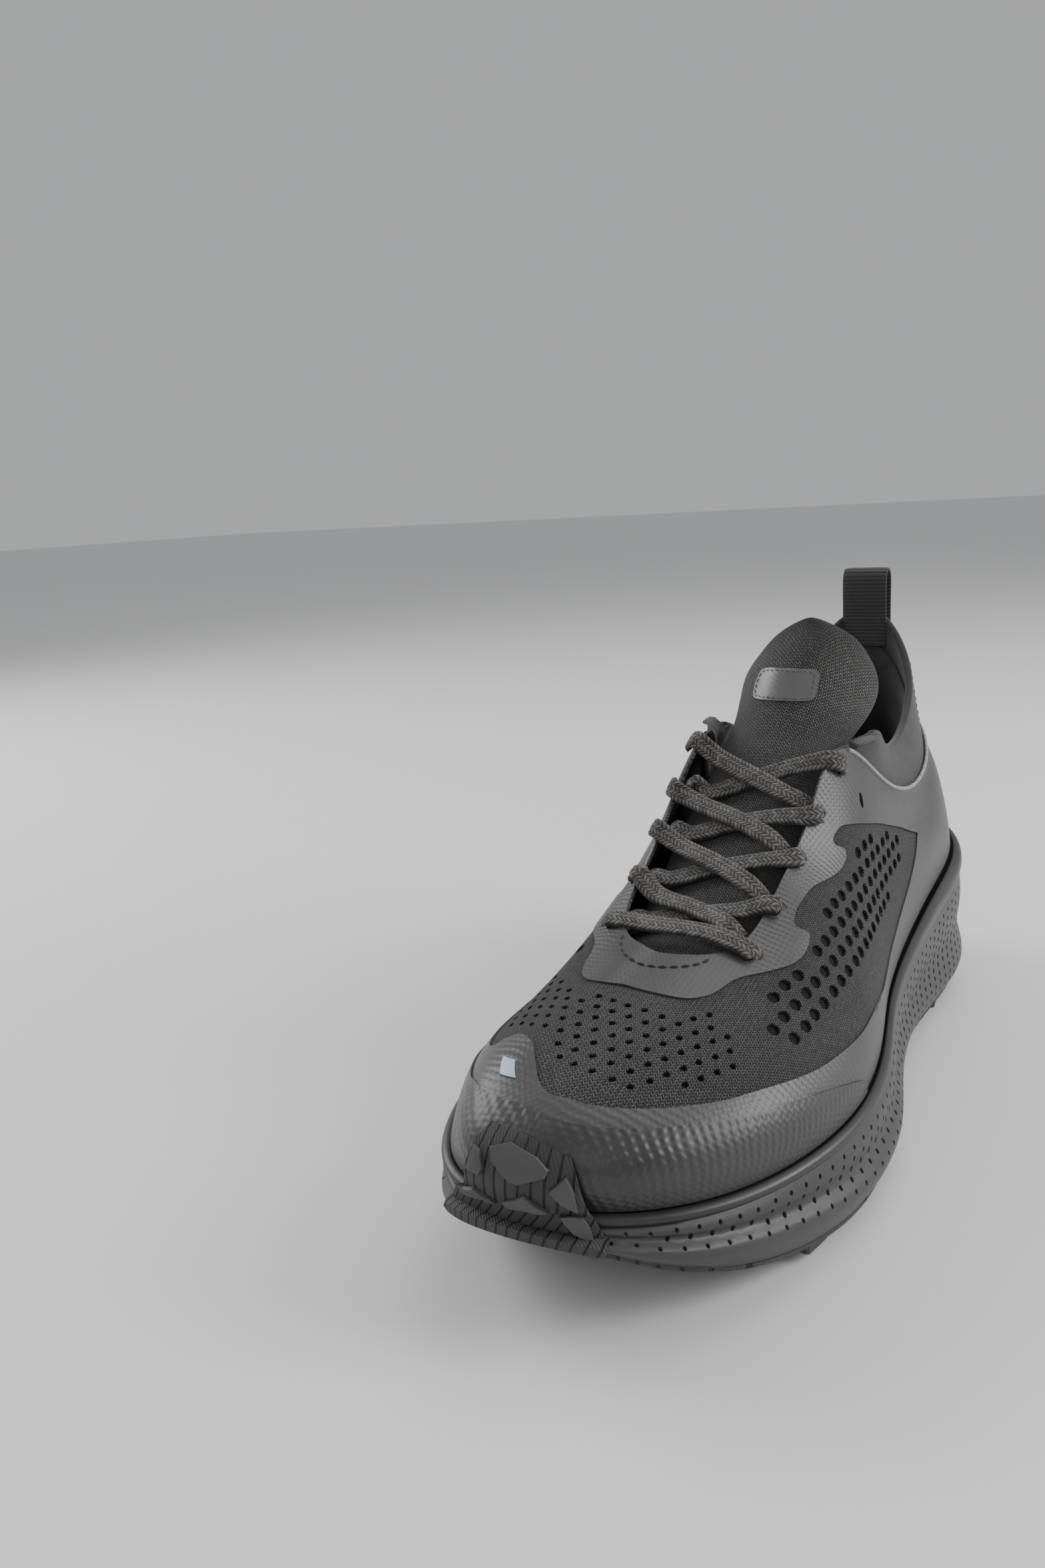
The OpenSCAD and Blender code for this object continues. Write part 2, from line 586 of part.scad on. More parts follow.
// The inner side's strands lie on top: they leave the outer side's throat edge
low_lift = 0.5 + lace_t / 2;
high_lift = low_lift + lace_t + 0.6;
function half_lace(side) = concat(
    crossing(side, 0, side > 0 ? high_lift : low_lift),
    crossing(-side, 1, side > 0 ? low_lift : high_lift),
    crossing(side, 2, side > 0 ? high_lift : low_lift),
    crossing(-side, 3, side > 0 ? low_lift : high_lift),
    tail(side));
function reversed(list) = [for (i = [len(list) - 1:-1:0]) list[i]];
BAR = [for (side = [-1, 1]) each side < 0 ?
    [eyelet(-1, 0, over_film), over_tongue(-10, -54, low_lift + 4)] :
    [over_tongue(10, -54, low_lift + 4), eyelet(1, 0, over_film)]];

module lace() {
    placed() color([0.24, 0.23, 0.22])
        ribbon(concat(reversed(half_lace(-1)), BAR, half_lace(1)), lace_w, lace_t, 8);
}

module lace_tips() {
    tip = 20;
    placed() color([0.1, 0.1, 0.1])
        for (side = [-1, 1])
            translate([side * 28, -14.5, 60]) rotate([90 + 8, 0, 0]) cylinder(d = 3, h = tip, $fn = 24);
}

// ---- Pull loop ---------------------------------------------------------------------------
loop_front = 143;
loop_depth = 9.2;
loop_foot = 156.8;
loop_top = 170;
module loop_outline(inset) {
    r = loop_depth / 2 - inset;
    translate([loop_front + loop_depth / 2, loop_top - loop_depth / 2]) circle(r, $fn = 48);
    translate([loop_front + inset, loop_foot - inset])
        square([2 * r, loop_top - loop_depth / 2 - loop_foot + inset]);
}

module across_heel() {
    translate([-loop_w / 2 - 1, 0, 0]) rotate([90, 0, 90]) linear_extrude(loop_w) children();
}

module pull_loop() {
    placed() color([0.17, 0.17, 0.17]) across_heel()
        difference() {
            loop_outline(0);
            loop_outline(loop_t);
        }
}

module loop_base() {
    leg_top = 153.9;
    placed() color([0.14, 0.14, 0.14]) across_heel() {
        translate([loop_front - 1.6, 136]) square([loop_t, leg_top - 136]);
        translate([loop_front + loop_depth - loop_t, 130]) square([loop_t, leg_top - 130]);
    }
}

midsole();
midsole_rim();
outsole_forefoot();
outsole_heel();
toe_bumper();
strobel_board();
insole();
toe_puff();
heel_counter();
collar_foam();
heel_lining();
mesh_upper();
mudguard();
toe_guard();
eyestay();
quarter_overlay();
collar();
collar_piping();
vamp_stitching();
tongue();
tongue_flap();
tongue_patch();
toe_reflector();
lace();
lace_tips();
pull_loop();
loop_base();
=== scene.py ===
"""Looks of a left running shoe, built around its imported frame.

The nets below repeat part.scad: points in millimetres on 22 stations round the shoe (0 is the
toe tip, 1 to 10 the outer side, 11 the heel, 12 to 21 the inner side). A place on a surface is a
station t and a row v. Stations may also be counted backwards, so -3 is station 19.
"""
import math

import bpy
import numpy as np
from mathutils import Matrix, Vector
from mathutils.geometry import delaunay_2d_cdt


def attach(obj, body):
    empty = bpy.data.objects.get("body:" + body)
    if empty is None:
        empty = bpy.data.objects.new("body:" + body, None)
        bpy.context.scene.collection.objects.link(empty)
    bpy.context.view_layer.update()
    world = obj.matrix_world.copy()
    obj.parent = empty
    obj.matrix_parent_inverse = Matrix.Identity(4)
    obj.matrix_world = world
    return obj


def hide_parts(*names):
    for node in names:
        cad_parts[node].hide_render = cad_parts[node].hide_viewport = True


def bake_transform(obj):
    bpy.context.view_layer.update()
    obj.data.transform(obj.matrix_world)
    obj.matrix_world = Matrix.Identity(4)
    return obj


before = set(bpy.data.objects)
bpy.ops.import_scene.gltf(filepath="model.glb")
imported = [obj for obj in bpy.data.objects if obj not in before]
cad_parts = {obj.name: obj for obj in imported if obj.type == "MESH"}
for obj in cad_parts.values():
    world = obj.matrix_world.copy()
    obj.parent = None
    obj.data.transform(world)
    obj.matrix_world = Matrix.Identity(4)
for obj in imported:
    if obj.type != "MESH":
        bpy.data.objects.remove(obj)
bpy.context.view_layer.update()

MM = 0.001
# The origin of the frame lies under the middle of the shoe
MIDDLE = np.array([4.525, 3.73, 0.0])
STATIONS = 22
HALF_RING = 11

# ---- Nets of the shoe, in millimetres ----
PLAN = [
    (-13, -151), (13, -146), (36, -128), (52, -98), (61, -62), (60, -26), (52, 8), (47, 46),
    (48, 84), (48, 119), (33, 147), (0, 160), (-32, 147), (-46, 119), (-44, 83), (-38, 44),
    (-39, 8), (-46, -26), (-52, -60), (-52, -92), (-45, -118), (-31, -141),
]
FEATHER_LINE = [
    (-12, -143, 36), (12, -138.5, 35), (32, -121, 33), (46, -95, 32), (54, -61, 32.5),
    (52.5, -26, 35), (46, 8, 39), (43, 46, 45), (43, 84, 52), (42, 117, 59), (28, 143, 64),
    (0, 154, 66), (-28, 143, 64), (-40, 117, 58), (-38, 83, 53), (-34, 44, 48),
    (-34, 8, 45.5), (-38.5, -26, 43), (-44.5, -60, 41), (-45.5, -90, 40), (-41, -115, 38.5),
    (-30, -135, 37),
]
LOWER_ROW = [
    (-13, -145, 47), (12, -140.5, 46.5), (32, -123, 45), (46, -96, 44), (53, -60, 45.5),
    (51, -25, 51), (45, 10, 57), (42, 44, 64), (42.5, 78, 68), (41, 113, 72), (27, 145, 78),
    (0, 157, 80), (-27, 145, 78), (-39.5, 113, 72), (-37.5, 77, 68), (-34, 42, 66),
    (-34, 10, 60), (-37.5, -25, 55), (-43, -58, 51), (-43.5, -87, 49), (-39, -113, 47.5),
    (-28, -134, 47),
]
MIDDLE_ROW = [
    (-11, -132, 57.5), (9, -129, 56.5), (27, -114, 54.5), (39, -90, 55), (44.5, -56, 58.5),
    (44, -24, 66), (40, 8, 75), (38, 37, 83), (38.5, 72, 80), (38, 108, 83), (26.5, 144, 90),
    (0, 157, 94), (-26.5, 144, 90), (-37.5, 108, 83), (-36, 71, 80), (-34, 37, 85),
    (-33, 8, 77), (-35, -24, 68.5), (-38, -54, 61), (-38, -82, 57.5), (-35, -105, 57),
    (-25, -125, 57.5),
]
UPPER_ROW = [
    (-7, -102, 65.5), (7, -100, 65), (19.5, -91, 64), (29, -74, 64.5), (34, -50, 70),
    (34.5, -24, 78.5), (33, 2, 89.5), (33, 27, 102), (36, 61, 90), (35.5, 101, 89),
    (25.5, 140.5, 98), (0, 154.5, 106), (-25.5, 140.5, 98), (-35.5, 101, 89), (-34, 60, 92),
    (-31, 27, 106), (-30, 2, 94), (-30, -24, 82), (-30, -51, 73), (-29, -73, 67.5),
    (-24, -91, 65.5), (-16, -101, 66),
]
TOP_LINE = [
    (-2, -66, 73), (5, -65, 73), (12, -62, 73), (18, -55, 74), (21, -42, 78.5),
    (22, -24, 88), (23, -4, 101), (26, 19, 119), (33, 50, 101), (34.5, 93, 93),
    (25, 135, 104), (0, 151.5, 116), (-25, 135, 104), (-34, 93, 94), (-31.5, 50, 103),
    (-21.5, 19, 122), (-23, -4, 106), (-22, -24, 93), (-21, -42, 83), (-18, -55, 77.5),
    (-13, -62, 75), (-7, -65, 74),
]
# Rows of the collar over stations 7 to 15: its middle and its opening edge
COLLAR_FIRST, COLLAR_LAST = 7, 15
COLLAR_MIDDLE = [
    (28, 32, 120), (31, 60, 108), (30.5, 95, 103), (23, 134, 118), (0, 149, 133),
    (-23, 134, 118), (-30, 95, 104), (-30, 60, 110.5), (-25, 31, 122),
]
COLLAR_EDGE = [
    (29, 45, 119), (28.5, 68, 112), (27.5, 98, 112), (21, 134, 132), (0, 150, 153),
    (-21.5, 135, 136), (-27, 98, 112), (-28, 67, 113), (-26.5, 43, 120),
]
# Centre line of the tongue and its flap, as (x, y, z, half width, sag of the sides)
TONGUE = [
    (-1, -70, 66.5, 18, 6), (-0.5, -56, 72, 21, 6), (0, -42, 77, 22, 7), (0, -18, 90, 23, 8),
    (0, 6, 106, 23, 10), (1, 17, 117, 22, 12),
]
FLAP = [
    (2, 22, 122.5, 23.5, 20), (3, 28, 131, 26, 26), (3.5, 33.5, 140, 25.5, 25),
    (6, 38.5, 149, 20.5, 15), (8, 42, 156, 13.5, 6), (8.5, 43, 159.5, 5, 2),
]
# Height of the footbed along the shoe, and the rise of the outsole over the ground
FOOTBED = [
    (-150, 28.5), (-120, 26.5), (-90, 25.5), (-60, 26), (-26, 28), (8, 30.5), (44, 33),
    (83, 36), (117, 39), (154, 41),
]
GROUND = [
    (-152, 30), (-140, 21), (-125, 12.5), (-105, 5.5), (-80, 1), (-66, 0), (110, 0),
    (135, 3), (160, 9),
]
# Laced eyelets of one side, lowest first, and the spare one above the top lace
EYELETS = [(3.33, 3.72), (4.38, 3.84), (5.36, 3.88), (6.1, 3.84), (6.8, 3.74)]
SPARE_EYELET = (6.78, 3.02)

# ---- Outlines on the upper, as stations and rows ----
# Lower edge of the knit window, from the outer side's rear corner round the toe to the inner
# side's rear corner; the tab over the big toe carries the reflector
WINDOW_LOW = [
    (7.92, 1.72), (7.6, 1.3), (7.2, 0.96), (6.8, 0.79), (6.3, 0.68), (5.6, 0.7), (4.9, 1),
    (4.4, 1.16), (4, 1.32), (3.6, 1.46), (3.3, 1.6), (2.9, 1.78), (2.5, 1.88), (2.1, 1.96),
    (1.7, 2), (1.35, 2.02), (1, 2.04), (0.7, 2.08), (0.4, 2.1), (0.14, 2.22), (-0.12, 2.38),
    (-0.6, 2.58), (-1.08, 2.6), (-1.34, 2.5), (-1.48, 2.32), (-1.56, 2.12), (-1.78, 1.97),
    (-2.1, 1.89), (-2.5, 1.82), (-2.95, 1.72), (-3.4, 1.56), (-3.85, 1.3), (-4.3, 1.04),
    (-4.8, 0.82), (-5.7, 0.72), (-6.4, 0.72), (-7.1, 0.84), (-7.6, 1.2), (-7.92, 1.72),
]
# Outer edge of the eyestay from the toe side to the window's rear corner, on either side
STAY_EDGE = [
    (0, 3.52), (0.6, 3.49), (1.2, 3.45), (1.8, 3.4), (2.3, 3.42), (2.75, 3.52), (3.15, 3.46),
    (3.6, 3.24), (3.95, 3.02), (4.2, 2.94), (4.4, 2.98), (4.48, 3.08), (4.42, 3.26),
    (4.4, 3.38), (4.5, 3.46), (4.7, 3.48), (5.1, 3.4), (5.4, 3.18), (5.65, 3), (5.85, 2.93),
    (5.98, 2.97), (5.99, 3.08), (5.94, 3.24), (5.97, 3.35), (6.08, 3.34), (6.22, 3.24),
    (6.4, 2.96), (6.7, 2.6), (7.14, 2.3), (7.56, 2.1), (7.92, 1.72),
]
# Upper edge of the toe guard, from the outer side to the inner side
GUARD_EDGE = [
    (4.3, 0.3), (4.06, 0.64), (3.6, 1.06), (3.2, 1.28), (2.8, 1.44), (2.4, 1.58), (2, 1.66),
    (1.4, 1.71), (0.8, 1.76), (0.3, 1.86), (-0.3, 1.86), (-1, 1.78), (-1.3, 1.66),
    (-1.7, 1.54), (-2.4, 1.28), (-3.1, 0.92), (-3.7, 0.3),
]
REFLECTOR = [(-0.93, 2.28), (-0.57, 2.33), (-0.22, 2.15), (-0.58, 2.11)]


# ---- Splines ----
def extend(points):
    """A chain with one more point at each end, in line with the last two."""
    return np.concatenate([[2 * points[0] - points[1]], points, [2 * points[-1] - points[-2]]])


def wrap(points):
    return np.concatenate([points[-1:], points, points[:1]])


def controls(points, padded):
    """Control points of the cubic spline that passes through the points, along axis 0."""
    points = np.asarray(points, float)
    found = points.copy()
    for _ in range(14):
        near = padded(found)
        found += points - (near[:-2] + 4 * near[1:-1] + near[2:]) / 6
    return found


def weights(f):
    return np.stack([(1 - f) ** 3, 3 * f**3 - 6 * f**2 + 4, -3 * f**3 + 3 * f**2 + 3 * f + 1, f**3], -1) / 6


def slopes(f):
    return np.stack([-((1 - f) ** 2), 3 * f**2 - 4 * f, -3 * f**2 + 2 * f + 1, f**2], -1) / 2


def unit(a):
    return a / np.maximum(np.linalg.norm(a, axis=-1, keepdims=True), 1e-9)


def ring_at(points, t):
    """Place on the closed spline through the points at stations t."""
    net = controls(points, wrap)
    i = np.floor(t).astype(int)
    near = net[(i[..., None] + np.arange(-1, 3)) % len(net)]
    return np.einsum("...k,...kx->...x", weights(t - i), near)


def chain_at(points, v):
    """Place on the open spline through the points; v counts the points from 0."""
    net = extend(controls(points, extend))
    i = np.clip(np.floor(v).astype(int), 0, len(points) - 2)
    near = net[i[..., None] + np.arange(4)]
    return np.einsum("...k,...kx->...x", weights(v - i), near)


class Surface:
    """Smooth surface through rows of points that close round the shoe."""

    def __init__(self, rows):
        rings = [controls(row, wrap) for row in rows]
        self.net = extend(controls(rings, extend))
        self.rows = len(rows)

    def sample(self, t, v):
        """Points, and their change along t and along v."""
        t, v = np.broadcast_arrays(np.asarray(t, float), np.asarray(v, float))
        i = np.floor(t).astype(int)
        j = np.clip(np.floor(v).astype(int), 0, self.rows - 2)
        columns = (i[..., None, None] + np.arange(-1, 3)) % STATIONS
        near = self.net[(j[..., None] + np.arange(4))[..., None], columns]
        wt, wv, st, sv = weights(t - i), weights(v - j), slopes(t - i), slopes(v - j)
        blend = "...j,...i,...jix->...x"
        return (np.einsum(blend, wv, wt, near), np.einsum(blend, wv, st, near),
                np.einsum(blend, sv, wt, near))

    def at(self, t, v, height=0.0):
        point, along, up = self.sample(t, v)
        if np.ndim(height) == 0 and height == 0:
            return point
        return point + unit(np.cross(along, up)) * np.asarray(height, float)[..., None]

    def normal(self, t, v):
        _, along, up = self.sample(t, v)
        return unit(np.cross(along, up))

    def loop(self, t, v, shape):
        """Stations and rows of a flat outline, given in mm along the station line and up from it."""
        _, along, up = self.sample(t, v)
        run = np.linalg.norm(along)
        lean = up @ along / run
        rise = np.linalg.norm(up - lean * along / run)
        dv = shape[:, 1] / rise
        return np.stack([t + (shape[:, 0] - dv * lean) / run, v + dv], -1)


UPPER = Surface([FEATHER_LINE, LOWER_ROW, MIDDLE_ROW, UPPER_ROW, TOP_LINE])


def around_collar(row):
    ring = list(TOP_LINE)
    ring[COLLAR_FIRST:COLLAR_LAST + 1] = row
    return ring


COLLAR = Surface([TOP_LINE, around_collar(COLLAR_MIDDLE), around_collar(COLLAR_EDGE)])


def height_in(table, y):
    places, heights = np.array(table, float).T
    return np.interp(y, places, heights)


# ---- Surface of the foam, worked out from the plan and the feather line ----
FEATHER = np.array(FEATHER_LINE, float)
PLAN_POINTS = np.array(PLAN, float)
ALONG_PLAN = np.roll(PLAN_POINTS, -1, 0) - np.roll(PLAN_POINTS, 1, 0)
OUT = unit(np.stack([ALONG_PLAN[:, 1], -ALONG_PLAN[:, 0], np.zeros(STATIONS)], -1))
HEEL_SHARE = np.clip((FEATHER[:, 1] - 20) / 120, 0, 1)
RIM_DROP = np.interp(FEATHER[:, 1], [-145, -95, 8, 140], [2.8, 3.4, 5.7, 10])
RIM_REACH = 3 + 1.5 * HEEL_SHARE
OUTSOLE_T = 4.0
LUG_H = 2.8
GAP = 0.35
FOAM_WIDEST = 13
BOTTOM_INSET = 4
CREASE_INSET = 1.5


def lowered(points, depth):
    moved = np.array(points, float)
    moved[..., 2] -= depth
    return moved


FOAM_TOP = lowered(FEATHER + OUT * RIM_REACH[:, None], RIM_DROP)
BOTTOM_PLAN = PLAN_POINTS - OUT[:, :2] * BOTTOM_INSET
FOAM_FOOT = height_in(GROUND, BOTTOM_PLAN[:, 1]) + OUTSOLE_T + GAP / 2
WIDE_Z = np.minimum(height_in(GROUND, PLAN_POINTS[:, 1]) + FOAM_WIDEST, (FOAM_FOOT + FOAM_TOP[:, 2]) / 2)
FOAM_WIDE = np.column_stack([PLAN_POINTS, WIDE_Z])
FOAM_CREASE = 0.33 * FOAM_TOP + 0.67 * FOAM_WIDE - OUT * CREASE_INSET
FOAM_UPPER = 0.66 * FOAM_TOP + 0.34 * FOAM_WIDE
FOAM_BOTTOM = np.column_stack([BOTTOM_PLAN, FOAM_FOOT])
FOAM = Surface([FOAM_BOTTOM, FOAM_WIDE, FOAM_CREASE, FOAM_UPPER, FOAM_TOP])
LAST_ROW = 4


def inset_ring(inset, lift, t):
    """Ring inside the feather line, lying on the footbed."""
    ring = ring_at(FEATHER - OUT * inset, t)
    ring[..., 2] = height_in(FOOTBED, ring[..., 1]) + lift
    return ring


# ---- Meshes ----
NO_FACES = np.zeros((0, 3), int)


class Shape:
    """Points in mm with triangles and four-sided faces, and where the cloth's threads run."""

    def __init__(self, points, triangles=NO_FACES, quads=None, weave=None):
        self.points = np.asarray(points, float).reshape(-1, 3)
        self.triangles = np.asarray(triangles, int).reshape(-1, 3)
        self.quads = np.zeros((0, 4), int) if quads is None else np.asarray(quads, int).reshape(-1, 4)
        self.weave = self.points.copy() if weave is None else np.asarray(weave, float).reshape(-1, 3)


def joined(shapes):
    starts = np.cumsum([0] + [len(s.points) for s in shapes])
    return Shape(
        np.concatenate([s.points for s in shapes]),
        np.concatenate([s.triangles + k for s, k in zip(shapes, starts)]),
        np.concatenate([s.quads + k for s, k in zip(shapes, starts)]),
        np.concatenate([s.weave for s in shapes]),
    )


def welded(shape, step=0.004):
    """The same shape with its coincident points made one, and its unused points left out."""
    used = np.unique(np.concatenate([shape.triangles.ravel(), shape.quads.ravel()]))
    kept, label = used, np.arange(len(used))
    for shift in np.arange(8) / 8:
        cells = np.floor(shape.points[kept] / step + shift).astype(np.int64)
        _, first, inverse = np.unique(cells, axis=0, return_index=True, return_inverse=True)
        kept, label = kept[first], inverse.ravel()[label]
    place = np.zeros(len(shape.points), int)
    place[used] = label
    triangles, quads = place[shape.triangles], place[shape.quads]
    flat = (triangles[:, 0] == triangles[:, 1]) | (triangles[:, 1] == triangles[:, 2])
    flat |= triangles[:, 0] == triangles[:, 2]
    return Shape(shape.points[kept], triangles[~flat], quads, shape.weave[kept])


def grid_faces(rows, columns, closed=False, over=False):
    """Faces between neighbouring rows and columns; closed joins the last column to the first,
    and over joins the last row to the first."""
    r = np.arange(rows if over else rows - 1)[:, None]
    c = np.arange(columns if closed else columns - 1)[None, :]
    a, b = r * columns + c, r * columns + (c + 1) % columns
    up = (r + 1) % rows * columns
    return np.stack([a, b, up + (c + 1) % columns, up + c], -1).reshape(-1, 4)


def open_edges(triangles, count):
    """Directed edges that only one triangle has."""
    edges = np.concatenate([triangles[:, [0, 1]], triangles[:, [1, 2]], triangles[:, [2, 0]]])
    lonely = ~np.isin(edges[:, 0] * count + edges[:, 1], edges[:, 1] * count + edges[:, 0])
    return edges[lonely]


def thick(outer, inner, triangles, weave):
    """Closed sheet between two copies of a triangulated patch."""
    count = len(outer)
    edges = open_edges(triangles, count)
    walls = np.stack([edges[:, 1], edges[:, 0], edges[:, 0] + count, edges[:, 1] + count], -1)
    faces = np.concatenate([triangles, triangles[:, ::-1] + count])
    return Shape(np.concatenate([outer, inner]), faces, walls, np.concatenate([weave, weave]))


def thick_grid(outer, inner, weave):
    """Closed sheet between two grids of the same size, rows by columns."""
    rows, columns = outer.shape[:2]
    count = rows * columns
    skin = grid_faces(rows, columns)
    index = np.arange(count).reshape(rows, columns)
    border = np.concatenate([index[0], index[1:, -1], index[-1, -2::-1], index[-2:0:-1, 0]])
    after = np.roll(border, -1)
    walls = np.stack([after, border, border + count, after + count], -1)
    points = np.concatenate([outer.reshape(-1, 3), inner.reshape(-1, 3)])
    weave = weave.reshape(-1, 3)
    return Shape(points, NO_FACES, np.concatenate([skin, skin[:, ::-1] + count, walls]),
                 np.concatenate([weave, weave]))


def tube(route, normals, outline):
    """Closed tube whose outline (k points, side and up, or one outline a ring) follows a route."""
    along = unit(np.gradient(route, axis=0))
    side = unit(np.cross(along, normals))
    up = np.cross(side, along)
    outline = np.broadcast_to(outline, (len(route),) + np.shape(outline)[-2:])
    rings = route[:, None] + outline[..., :1] * side[:, None] + outline[..., 1:] * up[:, None]
    rows, columns = rings.shape[:2]
    run = np.concatenate([[0], np.cumsum(np.linalg.norm(np.diff(route, axis=0), axis=1))])
    weave = np.zeros(rings.shape)
    weave[..., 0] = run[:, None]
    weave[..., 1:] = outline
    ends = np.concatenate([rings.reshape(-1, 3), route[[0, -1]]])
    flow = np.concatenate([weave.reshape(-1, 3), [[0, 0, 0], [run[-1], 0, 0]]])
    k = np.arange(columns)
    n, last = (k + 1) % columns, (rows - 1) * columns
    hub = rows * columns
    caps = np.concatenate([np.stack([n, k, np.full(columns, hub)], -1),
                           np.stack([last + k, last + n, np.full(columns, hub + 1)], -1)])
    return Shape(ends, caps, grid_faces(rows, columns, closed=True), flow)


# ---- Patches with holes ----
# Rough size of one station and of one row, so that patches get even triangles
STATION_MM, ROW_MM = 30.0, 14.0


def within(loop, points):
    """Whether each point lies inside a closed outline."""
    found = np.zeros(len(points), bool)
    x, y = points[:, 0], points[:, 1]
    for (ax, ay), (bx, by) in zip(loop, np.roll(loop, -1, 0)):
        if ay == by:
            continue
        crosses = (ay > y) != (by > y)
        found ^= crosses & (x < (bx - ax) * (y - ay) / (by - ay) + ax)
    return found


def stepped(line, step, scale=(1, 1)):
    """Even steps along a line, its own points kept."""
    line = np.asarray(line, float)
    parts = []
    for a, b in zip(line[:-1], line[1:]):
        count = max(1, int(round(np.linalg.norm((b - a) * scale) / step)))
        parts.append(a + (b - a) * np.arange(count)[:, None] / count)
    return np.concatenate(parts + [line[-1:]])


def eased(line, per=4):
    """A smooth curve through given points that never strays far from them."""
    line = np.asarray(line, float)
    padded = extend(line)
    parts = []
    for i in range(len(line) - 1):
        a, b, c, d = padded[i:i + 4]
        f = np.arange(per)[:, None] / per
        tangent_b, tangent_c = (c - a) / 2, (d - b) / 2
        limit = np.linalg.norm(c - b) * 1.2
        tangent_b = tangent_b * min(1, limit / max(np.linalg.norm(tangent_b), 1e-9))
        tangent_c = tangent_c * min(1, limit / max(np.linalg.norm(tangent_c), 1e-9))
        parts.append((2 * f**3 - 3 * f**2 + 1) * b + (f**3 - 2 * f**2 + f) * tangent_b
                     + (3 * f**2 - 2 * f**3) * c + (f**3 - f**2) * tangent_c)
    return np.concatenate(parts + [line[-1:]])


def inside(loops, points):
    """Whether each point lies inside the first loop and outside the others."""
    keep = within(loops[0], points)
    for loop in loops[1:]:
        keep &= ~within(loop, points)
    return keep


# Height of an even-sided triangle, and the room kept from edges and cuts, as shares of the spacing
TRIANGLE_RISE, EDGE_ROOM, CUT_ROOM = 0.866, 0.45, 0.3
BLOCK = 4000


def lattice(loop, spacing):
    """Staggered points at an even spacing over the box round a loop."""
    low, high = loop.min(0), loop.max(0)
    rise = spacing * TRIANGLE_RISE
    rows = []
    for k, y in enumerate(np.arange(low[1] + rise, high[1], rise)):
        x = np.arange(low[0] + spacing * (0.5 + 0.5 * (k % 2)), high[0], spacing)
        rows.append(np.column_stack([x, np.full(len(x), y)]))
    return np.concatenate(rows)


def filling(loops, small, spacing):
    """Points that fill the loops evenly and keep clear of their edges and of the small cuts."""
    points = lattice(loops[0], spacing)
    points = points[inside(loops, points)]
    edge = np.concatenate(loops)
    for k in range(0, len(points), BLOCK):
        block = points[k:k + BLOCK]
        gap = np.min(np.linalg.norm(block[:, None] - edge[None], axis=2), axis=1)
        block[gap < spacing * EDGE_ROOM] = np.nan
    points = points[~np.isnan(points[:, 0])]
    for loop in small:
        centre = loop.mean(0)
        reach = np.linalg.norm(loop - centre, axis=1).max() + spacing * CUT_ROOM
        points = points[np.linalg.norm(points - centre, axis=1) > reach]
    return points


def sewn(points, triangles, seam):
    """Triangles with their points at minus the seam replaced by those at plus the seam."""
    left = np.flatnonzero(np.abs(points[:, 0] + seam) < 1e-6)
    right = np.flatnonzero(np.abs(points[:, 0] - seam) < 1e-6)
    left, right = left[np.argsort(points[left, 1])], right[np.argsort(points[right, 1])]
    place = np.arange(len(points))
    place[left] = right
    return place[triangles]


def patch(outline, cuts, spacing, scale, seam=None):
    """Triangles over an outline (a list of closed loops whose first is the outside).

    cuts are small loops left open. Returns points and triangles; a seam at plus and minus that
    value of the first coordinate is joined up.
    """
    scale = np.array(scale, float)
    loops = [np.asarray(loop) * scale for loop in outline]
    small = [np.asarray(loop) * scale for loop in cuts]
    inner = filling(loops, small, spacing)
    everything = loops + small
    fixed = np.concatenate(everything)
    starts = np.cumsum([0] + [len(loop) for loop in everything])
    edges = [(a + k, a + (k + 1) % n) for a, n in zip(starts, map(len, everything)) for k in range(n)]
    found = delaunay_2d_cdt([tuple(p) for p in fixed] + [tuple(p) for p in inner], edges, [], 0, 1e-7)
    points, triangles = np.array([tuple(p) for p in found[0]]), np.array(found[2], int)
    keep = inside(loops, points[triangles].mean(1))
    owner = np.full(len(points), -1)
    for index, sources in enumerate(found[3]):
        owners = [s for s in sources if s < len(fixed)]
        if owners:
            owner[index] = np.searchsorted(starts, owners[0], side="right") - 1
    first = owner[triangles[:, 0]]
    same = (owner[triangles] == first[:, None]).all(1)
    triangles = triangles[keep & ~(same & (first >= len(loops)))]
    a, b, c = points[triangles].transpose(1, 0, 2)
    turned = (b[:, 0] - a[:, 0]) * (c[:, 1] - a[:, 1]) < (b[:, 1] - a[:, 1]) * (c[:, 0] - a[:, 0])
    triangles[turned] = triangles[turned][:, ::-1]
    points = points / scale
    if seam is not None:
        triangles = sewn(points, triangles, seam)
    used, inverse = np.unique(triangles, return_inverse=True)
    return points[used], inverse.reshape(-1, 3)


def on_plane(points, scale=(1, 1)):
    """Flat points in mm, as thread coordinates."""
    return np.column_stack([points * scale, np.zeros(len(points))])


def spun(points, degrees):
    """Flat points turned about the origin."""
    c, s = math.cos(math.radians(degrees)), math.sin(math.radians(degrees))
    return points @ np.array([[c, s], [-s, c]])


def rounded_box(width, height, sides, tops, count, start=0.0):
    """Outline in mm of a box with rounded corners; lower powers make its sides and tops flatter."""
    a = (np.arange(count) + start) * 2 * math.pi / count
    x = np.sign(np.cos(a)) * np.abs(np.cos(a)) ** sides * width / 2
    y = np.sign(np.sin(a)) * np.abs(np.sin(a)) ** tops * height / 2
    return np.column_stack([x, y])


def distances(route):
    """Distance of each point of a route from its start."""
    return run_length(route[:, None], 0)[:, 0]


def along_line(places, run, line):
    """Points of a line at some distances; run gives the distances of its own points."""
    return np.stack([np.interp(places, run, line[:, k]) for k in range(3)], -1)


def ellipse(width, height, turn=0.0, count=12):
    """Outline in mm of an ellipse turned by some degrees."""
    a = np.arange(count) * 2 * math.pi / count
    flat = np.column_stack([np.cos(a) * width / 2, np.sin(a) * height / 2])
    return spun(flat, turn)


